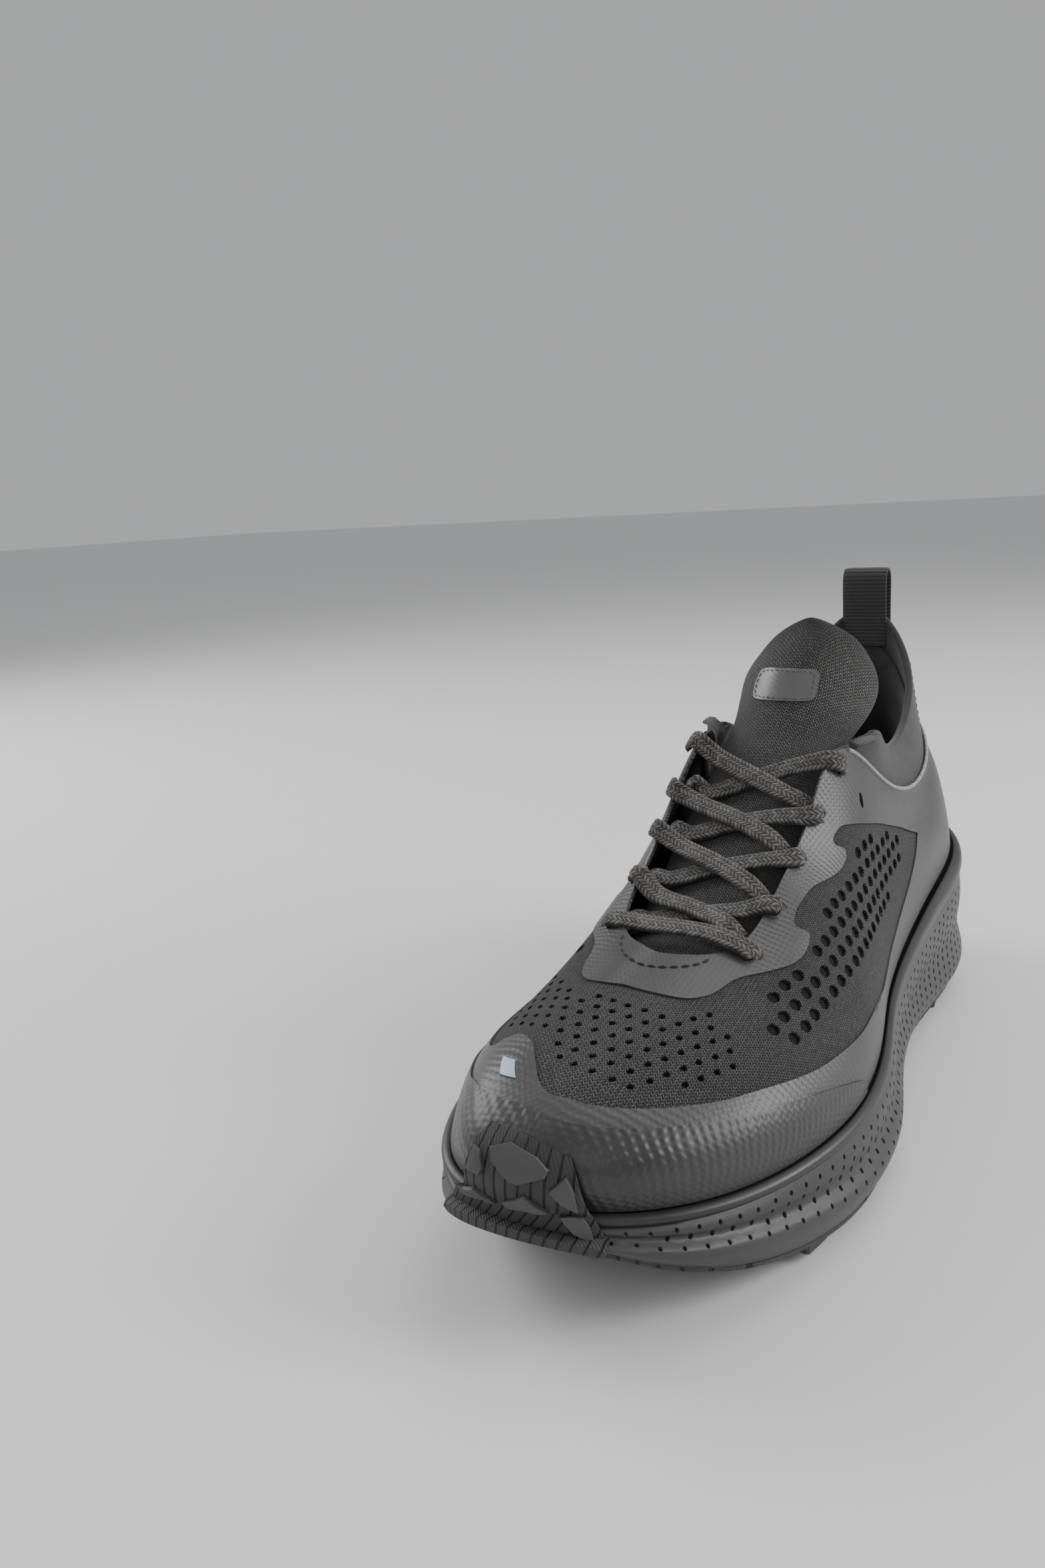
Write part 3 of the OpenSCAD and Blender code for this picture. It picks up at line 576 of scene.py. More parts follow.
def plug(place, loop, steps):
    """Rings that go down or up from a hole's edge and close in its middle.

    place gives the point over a (first, second) pair at a height; steps are (size, height)."""
    centre = loop.mean(0)
    rings = [place(centre + (loop - centre) * size, height) for size, height in steps]
    hub = place(centre[None], steps[-1][1])
    count = len(loop)
    points = np.concatenate(rings + [hub])
    last = (len(rings) - 1) * count
    k = np.arange(count)
    fan = np.stack([last + k, last + (k + 1) % count, np.full(count, len(rings) * count)], -1)
    return Shape(points, fan, grid_faces(len(rings), count, closed=True))


# ---- Materials ----
class Finish:
    """A material: a Principled shader, and the nodes that drive it."""

    def __init__(self, name, **sockets):
        self.material = bpy.data.materials.new(name)
        self.material.use_nodes = True
        self.tree = self.material.node_tree
        self.shader = self.tree.nodes["Principled BSDF"]
        for socket, value in sockets.items():
            self.shader.inputs[socket.replace("_", " ")].default_value = value

    def add(self, kind, *inputs, out=0, **settings):
        node = self.tree.nodes.new("ShaderNode" + kind)
        for key, value in settings.items():
            setattr(node, key, value)
        for slot, value in enumerate(inputs):
            if isinstance(value, bpy.types.NodeSocket):
                self.tree.links.new(value, node.inputs[slot])
            elif value is not None:
                node.inputs[slot].default_value = value
        return node.outputs[out]

    def math(self, operation, *values):
        return self.add("Math", *values, operation=operation)

    def times(self, a, b):
        return self.math("MULTIPLY", a, b)

    def plus(self, a, b):
        return self.math("ADD", a, b)

    def wave(self, value, pitch):
        """A sine from -1 to 1 along a value, its pitch in the value's unit."""
        return self.math("SINE", self.times(value, 2 * math.pi / pitch))

    def ridges(self, value, pitch):
        """The same sine from 0 to 1."""
        return self.spread(self.wave(value, pitch), -1, 1)

    def weave(self, turn=0.0):
        """Thread coordinates of the piece in mm, turned by some degrees: across and along."""
        flow = self.add("Attribute", attribute_name="weave", out=1)
        spun = self.add("Mapping", flow, None, (0, 0, math.radians(turn)))
        split = self.tree.nodes.new("ShaderNodeSeparateXYZ")
        self.tree.links.new(spun, split.inputs[0])
        return split.outputs[0], split.outputs[1]

    def place(self):
        """Place on the object in mm."""
        here = self.add("TexCoord", out=3)
        return self.add("VectorMath", here, (1000, 1000, 1000), operation="MULTIPLY")

    def noise(self, vector, size, detail=2.0, roughness=0.5):
        """Noise from 0 to 1 with patches of a size in the vector's unit."""
        return self.add("TexNoise", vector, None, 1 / size, detail, roughness)

    def spread(self, value, low, high, to_low=0.0, to_high=1.0):
        return self.add("MapRange", value, low, high, to_low, to_high)

    def mix(self, share, a, b):
        node = self.tree.nodes.new("ShaderNodeMix")
        node.data_type = "RGBA"
        for slot, value in ((0, share), (6, a), (7, b)):
            if isinstance(value, bpy.types.NodeSocket):
                self.tree.links.new(value, node.inputs[slot])
            else:
                node.inputs[slot].default_value = value if slot == 0 else grey(value)
        return node.outputs[2]

    def drive(self, socket, value):
        self.tree.links.new(value, self.shader.inputs[socket])

    def bump(self, height, depth, below=None):
        """Bump of a depth in mm; below is the bump that it lies on."""
        node = self.tree.nodes.new("ShaderNodeBump")
        node.inputs["Strength"].default_value = 1
        node.inputs["Distance"].default_value = depth * MM
        self.tree.links.new(height, node.inputs["Height"])
        if below is not None:
            self.tree.links.new(below, node.inputs["Normal"])
        self.tree.links.new(node.outputs[0], self.shader.inputs["Normal"])
        return node.outputs[0]

    def stitches(self, across, along, wale, course):
        """Columns of V-shaped stitches: their height, and a number from 0 to 1 for each stitch."""
        column = self.math("DIVIDE", across, wale)
        leg = self.math("ABSOLUTE", self.math("SUBTRACT", self.math("FRACT", column), 0.5))
        phase = self.plus(self.math("DIVIDE", along, course), self.times(leg, 2))
        wave = self.spread(self.math("COSINE", self.times(phase, 2 * math.pi)), -1, 1)
        round_leg = self.wave(leg, 1)
        height = self.times(wave, self.math("POWER", round_leg, 0.6))
        cell = self.tree.nodes.new("ShaderNodeCombineXYZ")
        self.tree.links.new(self.math("FLOOR", self.times(column, 2)), cell.inputs[0])
        self.tree.links.new(self.math("FLOOR", self.plus(phase, 0.5)), cell.inputs[1])
        chance = self.add("TexWhiteNoise", cell.outputs[0], noise_dimensions="3D")
        return height, chance


def grey(value):
    """A colour from one number, or from three."""
    if np.ndim(value) == 0:
        return (value, value, value, 1)
    return (*value, 1)


def knit(name, dark, pale, share, wale, course, depth, sheen=0.15):
    """Knitted textile: V stitches of a pale yarn, which differ from one another by up to a share. Its colour
    holds painted shade in the dips between stitches and a painted highlight on their tops.
    """
    f = Finish(name, Roughness=0.85, Sheen_Weight=sheen, Sheen_Roughness=0.5, Specular_IOR_Level=0.25)
    height, chance = f.stitches(*f.weave(), wale, course)
    fibres = f.noise(f.place(), 0.5, 3)
    drift = f.noise(f.place(), 30)
    # lit: the mix of dark and pale yarn follows the stitch height, so the tops are pale and the dips dark:
    # real pale yarn, and painted shade in the dips
    lit = f.times(height, f.spread(chance, 0, 1, 1 - share, 1))
    # shade: painted shade and highlight from the stitch height, darker in the dips and lighter on the tops,
    # times a random tone of fibres and drift
    shade = f.times(f.spread(height, 0, 1, 0.3, 1.2), f.spread(fibres, 0.3, 0.7, 0.9, 1.1))
    shade = f.times(shade, f.spread(drift, 0.3, 0.7, 0.9, 1.1))
    f.drive("Base Color", f.add("VectorMath", f.mix(lit, dark, pale), None, None, shade, operation="SCALE"))
    f.bump(height, depth, f.bump(fibres, 0.06))
    return f.material


def film(name, base, worn, turn=0.0, rib=1.6, depth=0.12, roughness=0.42):
    """Thin welded film: satin, with the ribs of the knit below showing through."""
    f = Finish(name, Specular_IOR_Level=0.5, Coat_Weight=0.12, Coat_Roughness=0.35)
    across, along = f.weave(turn)
    here = f.place()
    drift = f.noise(here, 9, 2)
    bent = f.plus(along, f.spread(drift, 0, 1, -1.2, 1.2))
    ribs = f.wave(bent, rib)
    crossed = f.times(ribs, f.wave(across, rib * 0.8))
    relief = f.plus(f.times(ribs, 0.5), f.times(crossed, 0.3))
    grain = f.noise(here, 0.35, 3)
    smudge = f.noise(here, 22, 4)
    f.drive("Base Color", f.mix(f.spread(smudge, 0.35, 0.65), base, worn))
    gloss = f.spread(grain, 0.3, 0.7, roughness - 0.04, roughness + 0.05)
    f.drive("Roughness", f.plus(f.spread(smudge, 0.3, 0.7, -0.05, 0.07), gloss))
    f.bump(relief, depth, f.bump(grain, 0.02))
    return f.material


def moulded(name, base, worn, roughness, grain=0.4, depth=0.03, patches=25.0, **sockets):
    """Moulded foam or rubber: fine grain, and a slow change of tone and gloss."""
    f = Finish(name, **sockets)
    here = f.place()
    fine = f.noise(here, grain, 4)
    slow = f.noise(here, patches, 3)
    f.drive("Base Color", f.mix(f.spread(slow, 0.35, 0.65), base, worn))
    f.drive("Roughness", f.plus(f.spread(slow, 0.3, 0.7, roughness - 0.04, roughness + 0.04),
                                f.spread(fine, 0.3, 0.7, -0.04, 0.04)))
    f.bump(fine, depth)
    return f.material


SIPE_TURN, SIPE_PITCH, RIB_TURN = 16, 2.9, -35


def siped(name, base, worn):
    """Outsole rubber with fine parallel sipes moulded into it; the sipes are painted near black and the fine
    lines darker, as painted shade in their grooves.
    """
    f = Finish(name, Specular_IOR_Level=0.45)
    across, _ = f.weave(SIPE_TURN)
    slanted, _ = f.weave(RIB_TURN)
    here = f.place()
    fine = f.noise(here, 0.3, 3)
    slow = f.noise(here, 18, 3)
    turns = f.math("FRACT", f.math("DIVIDE", across, SIPE_PITCH))
    groove = f.math("ABSOLUTE", f.math("SUBTRACT", turns, 0.5))
    open_sipe = f.spread(groove, 0.04, 0.11)
    lines = f.ridges(slanted, 0.75)
    # shade: painted shade, near black (0.004) in the sipes' grooves and slightly darker in the low parts of
    # the fine slanted lines
    shade = f.times(open_sipe, f.spread(lines, 0, 1, 0.75, 1))
    tone = f.mix(f.spread(slow, 0.35, 0.65), base, worn)
    f.drive("Base Color", f.mix(shade, 0.004, tone))
    f.drive("Roughness", f.spread(fine, 0.3, 0.7, 0.55, 0.68))
    low = f.bump(f.plus(lines, f.times(fine, 0.5)), 0.1)
    f.bump(open_sipe, 0.7, low)
    return f.material


def braid(name, dark, pale, pitch, column):
    """Flat braid: herringbone strands with single threads in them; painted highlights on the raised strands
    and painted shade between them.
    """
    f = Finish(name, Roughness=0.8, Sheen_Weight=0.2, Specular_IOR_Level=0.3)
    run, across = f.weave()
    height, chance = f.stitches(across, run, column, pitch)
    threads = f.wave(f.plus(run, across), 0.45)
    fibres = f.noise(f.place(), 0.4, 3)
    # tone: painted highlight on the raised strands and painted shade between them, from their height, plus a
    # random tone for each strand
    tone = f.plus(f.times(height, 0.75), f.spread(chance, 0, 1, -0.2, 0.25))
    f.drive("Base Color", f.mix(f.spread(tone, 0.0, 0.85), dark, pale))
    low = f.bump(f.plus(f.spread(threads, -1, 1), fibres), 0.06)
    f.bump(height, 0.2, low)
    return f.material


def ribbed(name, dark, pale, rib, depth=0.2, weft=0.6):
    """Woven band: ribs across it with a fine weft between them; the band's colour gets a painted highlight on
    the rib tops and painted shade in the grooves.
    """
    f = Finish(name, Roughness=0.8, Sheen_Weight=0.15, Specular_IOR_Level=0.3)
    run, across = f.weave()
    ribs = f.ridges(run, rib)
    wefts = f.ridges(across, weft)
    fibres = f.noise(f.place(), 0.4, 3)
    height = f.plus(ribs, f.times(wefts, 0.35))
    # tone: the band's own colour from dark to pale, lighter on the rib tops and darker in the grooves as
    # painted highlight and shade, with a random fibre tone
    tone = f.times(height, f.spread(fibres, 0.3, 0.7, 0.7, 1.1))
    f.drive("Base Color", f.mix(f.spread(tone, 0, 1.3), dark, pale))
    f.bump(height, depth)
    return f.material


def brushed(name, dark, pale, rib=1.0):
    """Fine stretch knit with a brushed, slightly fuzzy face."""
    f = Finish(name, Roughness=0.9, Sheen_Weight=0.35, Sheen_Roughness=0.4, Specular_IOR_Level=0.2)
    across, along = f.weave()
    wales = f.ridges(across, rib)
    courses = f.ridges(along, rib * 0.7)
    fuzz = f.noise(f.place(), 0.45, 4, 0.7)
    patches = f.noise(f.place(), 7, 4)
    height = f.plus(f.times(f.times(wales, courses), 0.7), fuzz)
    tone = f.times(f.spread(patches, 0.3, 0.7, 0.2, 0.7), f.spread(fuzz, 0.3, 0.7, 0.5, 1.3))
    f.drive("Base Color", f.mix(tone, dark, pale))
    f.bump(height, 0.08)
    return f.material


# Colours, then sizes and depths in mm, angles in degrees and roughness in each function's order
MATERIALS = {
    "knit_mesh": knit("knit_mesh", (0.014, 0.0135, 0.013), (0.13, 0.127, 0.122), 0.7, 1.25, 1.05, 0.3),
    "bootie": knit("bootie_knit", (0.006, 0.006, 0.0065), (0.02, 0.02, 0.02), 0.3, 1.1, 1.0, 0.2, sheen=0.05),
    "tongue_knit": knit("tongue_knit", (0.024, 0.023, 0.022), (0.2, 0.194, 0.187), 0.6, 1.5, 1.2, 0.3),
    "collar_knit": brushed("collar_knit", (0.018, 0.0175, 0.0175), (0.05, 0.049, 0.048)),
    "heel_lining": brushed("heel_lining", (0.02, 0.02, 0.021), (0.06, 0.06, 0.062), 1.3),
    "film_overlay": film("film_overlay", 0.04, 0.052, 0, 2.0, 0.08),
    "toe_film": film("toe_film", 0.026, 0.036, 40, 2.4, 0.14, 0.42),
    "midsole_foam": moulded("midsole_foam", 0.04, 0.05, 0.46, 0.5, 0.02, 30, Specular_IOR_Level=0.45),
    "rim_foam": moulded("rim_foam", 0.022, 0.027, 0.42, 0.6, 0.015, 30, Specular_IOR_Level=0.5),
    "outsole_rubber": siped("outsole_rubber", 0.04, 0.052),
    "lug_rubber": moulded("lug_rubber", 0.055, 0.068, 0.5, 0.4, 0.03, 12, Specular_IOR_Level=0.45),
    "sockliner": brushed("sockliner", (0.03, 0.03, 0.032), (0.075, 0.075, 0.08), 1.4),
    "insole_foam": moulded("insole_foam", 0.09, 0.11, 0.85, 0.8, 0.08, 10),
    "lace_braid": braid("lace_braid", (0.012, 0.011, 0.0105), (0.16, 0.15, 0.135), 1.5, 3.25),
    "lace_tip": moulded("lace_tip", 0.03, 0.04, 0.25, 0.5, 0.01, 5, Coat_Weight=0.4),
    "webbing": ribbed("webbing", (0.012, 0.012, 0.012), (0.06, 0.058, 0.056), 1.5),
    "piping": ribbed("piping", (0.16, 0.16, 0.163), (0.42, 0.42, 0.425), 1.1, 0.12, 0.5),
    "thread": ribbed("thread", (0.01, 0.01, 0.01), (0.045, 0.045, 0.045), 0.6, 0.05, 0.3),
    "pale_thread": ribbed("pale_thread", (0.06, 0.06, 0.062), (0.2, 0.2, 0.2), 0.6, 0.05, 0.3),
    "patch": film("patch", 0.09, 0.11, 30, 1.2, 0.05, 0.35),
    "reflector": moulded("reflector", (0.36, 0.44, 0.52), (0.42, 0.5, 0.58), 0.35, 0.25, 0.02, 6,
                         Metallic=0.35, Coat_Weight=0.3),
    "board": brushed("board", (0.32, 0.31, 0.28), (0.5, 0.49, 0.45), 1.8),
    "stiffener": moulded("stiffener", (0.5, 0.48, 0.42), (0.6, 0.57, 0.5), 0.6, 0.8, 0.05),
    "padding": moulded("padding", (0.55, 0.5, 0.35), (0.66, 0.6, 0.42), 0.95, 0.7, 0.2),
}


# ---- Pieces ----
def piece(name, shape, finish, body="shoe", stands_for=(), bend=None, crease=38):
    """A Blender object from a shape in mm. bend is (body, start, end) where it crosses a joint; its values
    are not used, and when it is given the piece is left off any body.
    """
    shape = welded(shape)
    mesh = bpy.data.meshes.new(name)
    loops = np.concatenate([shape.triangles.ravel(), shape.quads.ravel()])
    sizes = np.concatenate([np.full(len(shape.triangles), 3), np.full(len(shape.quads), 4)])
    mesh.vertices.add(len(shape.points))
    mesh.vertices.foreach_set("co", ((shape.points - MIDDLE) * MM).astype(np.float32).ravel())
    mesh.loops.add(len(loops))
    mesh.loops.foreach_set("vertex_index", loops.astype(np.int32))
    mesh.polygons.add(len(sizes))
    mesh.polygons.foreach_set("loop_start", np.concatenate([[0], np.cumsum(sizes)[:-1]]).astype(np.int32))
    mesh.update(calc_edges=True)
    mesh.validate()
    flow = mesh.attributes.new("weave", "FLOAT_VECTOR", "POINT")
    flow.data.foreach_set("vector", shape.weave.astype(np.float32).ravel())
    mesh.polygons.foreach_set("use_smooth", np.ones(len(mesh.polygons), bool))
    mesh.set_sharp_from_angle(angle=math.radians(crease))
    mesh.materials.append(MATERIALS[finish])
    made = bpy.data.objects.new(name, mesh)
    bpy.context.scene.collection.objects.link(made)
    if bend:
        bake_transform(made)
    else:
        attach(made, body)
    if stands_for:
        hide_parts(*stands_for)
    return made


def flat_pattern(surface, columns=132, rows=20):
    """The surface unrolled as its cloth was cut, in mm; returns a function of t and v."""
    t, v = np.meshgrid(np.linspace(-HALF_RING, HALF_RING, columns + 1), np.linspace(0, LAST_ROW, rows + 1))
    points = surface.at(t, v).reshape(-1, 3)
    faces = grid_faces(rows + 1, columns + 1)
    mesh = bpy.data.meshes.new("pattern")
    mesh.from_pydata(points.tolist(), [], faces.tolist())
    made = bpy.data.objects.new("pattern", mesh)
    bpy.context.scene.collection.objects.link(made)
    bpy.context.view_layer.objects.active = made
    bpy.ops.object.mode_set(mode="EDIT")
    bpy.ops.mesh.select_all(action="SELECT")
    bpy.ops.uv.unwrap(method="ANGLE_BASED", margin=0)
    bpy.ops.object.mode_set(mode="OBJECT")
    uv = np.zeros(len(mesh.loops) * 2)
    mesh.uv_layers.active.data.foreach_get("uv", uv)
    corner = np.zeros(len(mesh.loops), int)
    mesh.loops.foreach_get("vertex_index", corner)
    flat = np.zeros((len(points), 2))
    flat[corner] = uv.reshape(-1, 2)
    bpy.data.objects.remove(made)
    a, b, c, d = points[faces].transpose(1, 0, 2)
    real = np.linalg.norm(np.cross(c - a, d - b), axis=1).sum()
    a, b, c, d = flat[faces].transpose(1, 0, 2)
    e, f = c - a, d - b
    drawn = np.abs(e[:, 0] * f[:, 1] - e[:, 1] * f[:, 0]).sum()
    flat = flat.reshape(rows + 1, columns + 1, 2) * math.sqrt(real / drawn)
    toe, throat = flat[0, columns // 2], flat[-1, columns // 2]
    up = (throat - toe) / np.linalg.norm(throat - toe)
    flat = (flat - throat) @ np.array([[up[1], up[0]], [-up[0], up[1]]])
    if flat[0, -1, 0] < flat[0, 0, 0]:
        flat[..., 0] *= -1

    def pattern(t, v):
        x = np.clip((np.asarray(t) + HALF_RING) / (2 * HALF_RING), 0, 1) * columns
        y = np.clip(np.asarray(v) / LAST_ROW, 0, 1) * rows
        i, j = np.minimum(x.astype(int), columns - 1), np.minimum(y.astype(int), rows - 1)
        fx, fy = (x - i)[..., None], (y - j)[..., None]
        low = flat[j, i] * (1 - fx) + flat[j, i + 1] * fx
        high = flat[j + 1, i] * (1 - fx) + flat[j + 1, i + 1] * fx
        here = low * (1 - fy) + high * fy
        return np.concatenate([here, np.zeros(here.shape[:-1] + (1,))], -1)

    return pattern


PATTERN = flat_pattern(UPPER)
STEP = (STATION_MM, ROW_MM)


def upper_sheet(outline, cuts, spacing, low, high, seam=None):
    """Closed sheet over the upper between two heights; a height may be a function of t and v."""
    points, triangles = patch(outline, cuts, spacing, STEP, seam)
    t, v = points.T
    outer, inner = (UPPER.at(t, v, h(t, v) if callable(h) else h) for h in (high, low))
    return thick(outer, inner, triangles, PATTERN(t, v))


RING_STEP = 0.125
RING_T = np.arange(-HALF_RING, HALF_RING, RING_STEP)


def ring_outline(low, high, rows=None):
    """Outline of a band right round the shoe, cut open at the heel; its sides have equal rows."""
    t = np.append(RING_T, HALF_RING)
    v = np.linspace(low, high, rows or max(3, int((high - low) * 8)))[1:-1]
    return np.concatenate([
        np.column_stack([t, np.full(len(t), low)]),
        np.column_stack([np.full(len(v), HALF_RING), v]),
        np.column_stack([t[::-1], np.full(len(t), high)]),
        np.column_stack([np.full(len(v), -HALF_RING), v[::-1]]),
    ])


def window_loop():
    """The knit window as one closed loop: its lower edge, then the eyestay's edge back."""
    low = eased(WINDOW_LOW, 3)
    right = eased(STAY_EDGE, 3)
    left = right * (-1, 1)
    return np.concatenate([low[:-1], left[::-1][:-1], right[:-1]])


def eyelet_cuts(width, height):
    """Slots for the lace, along the throat edge, and the spare slot."""
    cuts = []
    for side in (1, -1):
        for t, v in EYELETS:
            cuts.append(UPPER.loop(side * t, v, ellipse(width, height, 0, 14)))
        t, v = SPARE_EYELET
        cuts.append(UPPER.loop(side * t, v, ellipse(5.5, 2.2, side * 60, 12)))
    return cuts


WINDOW = window_loop()


# Furthest that a hole may lie from its place on the lattice, in mm
HOLE_MISS = 0.8


def even_holes(region, pitch_x, pitch_y, outline, shift=0.0, turn=0.0):
    """Cuts on a staggered lattice of the flat cloth, wherever it falls inside a region of (t, v)."""
    region = np.asarray(region, float)
    low, high = region.min(0), region.max(0)
    t, v = np.meshgrid(np.arange(low[0], high[0], 0.02), np.arange(low[1], high[1], 0.01))
    flat = PATTERN(t, v)[..., :2].reshape(-1, 2)
    places = np.column_stack([t.ravel(), v.ravel()])
    keep = within(region, places)
    flat, places = flat[keep], places[keep]
    level = spun(flat, -turn)
    row = np.round(level[:, 1] / pitch_y)
    column = np.round((level[:, 0] - shift) / pitch_x - 0.5 * (row % 2))
    goal = np.column_stack([(column + 0.5 * (row % 2)) * pitch_x + shift, row * pitch_y])
    miss = np.linalg.norm(goal - level, axis=1)
    cuts = []
    cells = np.stack([row, column], -1)
    order = np.lexsort((miss, column, row))
    _, first = np.unique(cells[order], axis=0, return_index=True)
    for index in order[np.sort(first)]:
        if miss[index] < HOLE_MISS:
            cuts.append(UPPER.loop(*places[index], outline))
    return cuts


VAMP_VENTS = [
    (-3.5, 2.35), (-2.8, 2.3), (-2, 2.3), (-1.75, 2.55), (-1.3, 2.75), (-0.5, 2.78), (0, 2.6),
    (0.4, 2.42), (1.2, 2.32), (2, 2.28), (2.7, 2.3), (2.75, 2.75), (2.3, 3.15), (1.2, 3.28),
    (0, 3.36), (-1.2, 3.28), (-2.3, 3.15), (-3.2, 2.8),
]
SIDE_VENTS = [
    (3.15, 2.55), (3.55, 2.05), (4.4, 1.85), (5.2, 1.6), (6.2, 1.35), (7, 1.45), (7.4, 1.75),
    (7.2, 2.02), (6.7, 2.3), (6.3, 2.62), (5.8, 2.72), (5.3, 2.95), (4.8, 2.85), (4.2, 2.72),
    (3.7, 2.92), (3.35, 3.05),
]
# Vents: pitch along and up the lattice, and size
VAMP_PITCH, VAMP_VENT = (4.8, 4.1), (2.3, 1.9)
SIDE_PITCH, SIDE_VENT, SIDE_TURN = (6.7, 5.8), (4.4, 3.8), 20
# Slots for the lace, in the knit and in the film over it
KNIT_SLOT, FILM_SLOT = (7.2, 3.2), (6.8, 2.9)
KNIT_T = 0.9
LINING_T = 0.6


def knit_upper():
    """The whole knitted upper, with its vents and eyelets cut out."""
    vents = even_holes(VAMP_VENTS, *VAMP_PITCH, ellipse(*VAMP_VENT, 20, 10))
    for side in (1, -1):
        region = np.array(SIDE_VENTS) * (side, 1)
        vents += even_holes(region, *SIDE_PITCH, ellipse(*SIDE_VENT, 0, 14), 1.0, side * SIDE_TURN)
    cuts = vents + eyelet_cuts(*KNIT_SLOT)
    shape = upper_sheet([ring_outline(0, 4)], cuts, 2.6, -KNIT_T, 0, seam=HALF_RING)
    return piece("knit_upper", shape, "knit_mesh", stands_for=["mesh_upper"])


def bootie():
    """Dark inner sock behind the vents, as far up as the eyestay."""
    t = np.linspace(-8.6, 8.6, 140)
    share = np.linspace(0, 1, 26)[:, None]
    top = 3.42 + 0.5 * np.clip((np.abs(t) - 6.9) / 1.2, 0, 1)
    v = 0.05 + share * (top - 0.05)
    t = np.broadcast_to(t, v.shape)
    low = -KNIT_T - 0.15
    shape = thick_grid(UPPER.at(t, v, low), UPPER.at(t, v, low - LINING_T), PATTERN(t, v))
    return piece("bootie_lining", shape, "bootie")


FILM_T = 0.62


def film_overlay():
    """One film for the mudguard, the eyestay and the quarter, with the knit window cut out."""
    def raised(t, v):
        return FILM_T + 0.15 * np.clip((v - 3.6) * 3, 0, 1)

    shape = upper_sheet([ring_outline(0.06, 4), WINDOW], eyelet_cuts(*FILM_SLOT), 2.4, 0.02, raised,
                        seam=HALF_RING)
    return piece("film_overlay", shape, "film_overlay",
                 stands_for=["mudguard", "eyestay", "quarter_overlay"], crease=50)


def toe_guard():
    """Second film over the toe, up to its own edge."""
    edge = eased(GUARD_EDGE, 3)
    foot = np.column_stack([np.linspace(-3.7, 4.3, 60), np.full(60, 0.06)])
    shape = upper_sheet([np.concatenate([edge, foot])], [], 2.2, FILM_T + 0.02, FILM_T + 0.6)
    return piece("guard_film", shape, "toe_film", stands_for=["toe_guard"])


def toe_reflector():
    """Small plain reflective patch on the tab over the big toe."""
    loop = stepped(REFLECTOR + REFLECTOR[:1], 2, STEP)[:-1]
    shape = upper_sheet([loop], [], 2, FILM_T + 0.02, FILM_T + 0.3)
    return piece("reflective_patch", shape, "reflector", stands_for=["toe_reflector"])


# ---- Sole ----
def foam_place(uv, height):
    return FOAM.at(*uv.T, height)


# Columns of dimples in the foam: first and last station, spacing along and up, and slant
DIMPLES_FROM, DIMPLES_TO = 1.3, 10.7
DIMPLE_PITCH, DIMPLE_RISE, DIMPLE_SLANT = 6.2, 3.1, 0.8
DIMPLE_STEPS = [(1, 0), (0.86, -0.5), (0.5, -0.95)]


def perforations():
    """Slanted columns of round dimples along both sides of the foam."""
    loops = []
    for side in (1, -1):
        t = DIMPLES_FROM
        while t < DIMPLES_TO:
            first, last = 0.95 if t < 6 else 0.75, 3.8
            _, along, _ = FOAM.sample(side * t, 2.0)
            pitch = DIMPLE_PITCH / np.linalg.norm(along)
            v = np.linspace(first, last, 30)
            rise = np.linalg.norm(np.diff(FOAM.at(side * t, v), axis=0), axis=1).sum()
            count = max(2, round(rise / DIMPLE_RISE))
            for k in range(count):
                share = (k + 0.5) / count
                size = (1.25 + 0.75 * min(1, t / 6)) * (1 - 0.25 * abs(2 * share - 1))
                station = side * (t + pitch * DIMPLE_SLANT * (share - 0.5))
                row = first + (last - first) * share
                loops.append(FOAM.loop(station, row, ellipse(size * 0.95, size * 1.1, 0, 10)))
            t += pitch
    return loops


FOAM_ROW_MM = 9


def midsole():
    """The foam: its dimpled wall, the shelf that the upper stands on, the footbed and the bottom."""
    dimples = perforations()
    outline = ring_outline(0, LAST_ROW, 30)
    points, triangles = patch([outline], dimples, 3.0, (STATION_MM, FOAM_ROW_MM), HALF_RING)
    wall = Shape(FOAM.at(*points.T), triangles)
    cups = [plug(foam_place, loop, DIMPLE_STEPS) for loop in dimples]
    drop = ring_at(np.repeat(RIM_DROP[:, None], 3, 1), RING_T)[:, 0]
    ledge = lowered(ring_at(FEATHER - OUT * 3, RING_T), drop)
    levels = [FOAM.at(RING_T, LAST_ROW), ledge, inset_ring(6, 2, RING_T), inset_ring(8, 0, RING_T)]
    shelf = Shape(np.concatenate(levels), NO_FACES, grid_faces(len(levels), len(RING_T), closed=True))
    bed = flat_cap(levels[-1], lambda x, y: height_in(FOOTBED, y), False)
    sole = flat_cap(FOAM.at(RING_T, 0), lambda x, y: height_in(GROUND, y) + OUTSOLE_T + GAP / 2, True)
    shape = joined([wall, *cups, shelf, bed, sole])
    return piece("foam_body", shape, "midsole_foam", stands_for=["midsole"])


def flat_cap(ring, height, down):
    """Triangles that close a ring, at a height given for the plan inside it."""
    points, triangles = patch([ring[:, :2]], [], 7, (1, 1))
    z = height(*points.T)
    closest = np.linalg.norm(points[:, None] - ring[None, :, :2], axis=2)
    near = closest.argmin(1)
    on_ring = closest[np.arange(len(points)), near] < 0.002
    made = np.column_stack([points, z])
    made[on_ring] = ring[near[on_ring]]
    return Shape(made, triangles[:, ::-1] if down else triangles)


# Section of the rim: how far out and how far down, as shares of its reach and its drop
RIM_PROFILE = [
    (1, 1), (1.1, 0.9), (1.2, 0.72), (1.22, 0.5), (1.1, 0.28), (0.85, 0.12), (0.55, 0.05), (0.3, 0.12),
    (0.1, 0.22), (-0.35, 0.25), (-0.35, 0.7), (-0.3, 1),
]


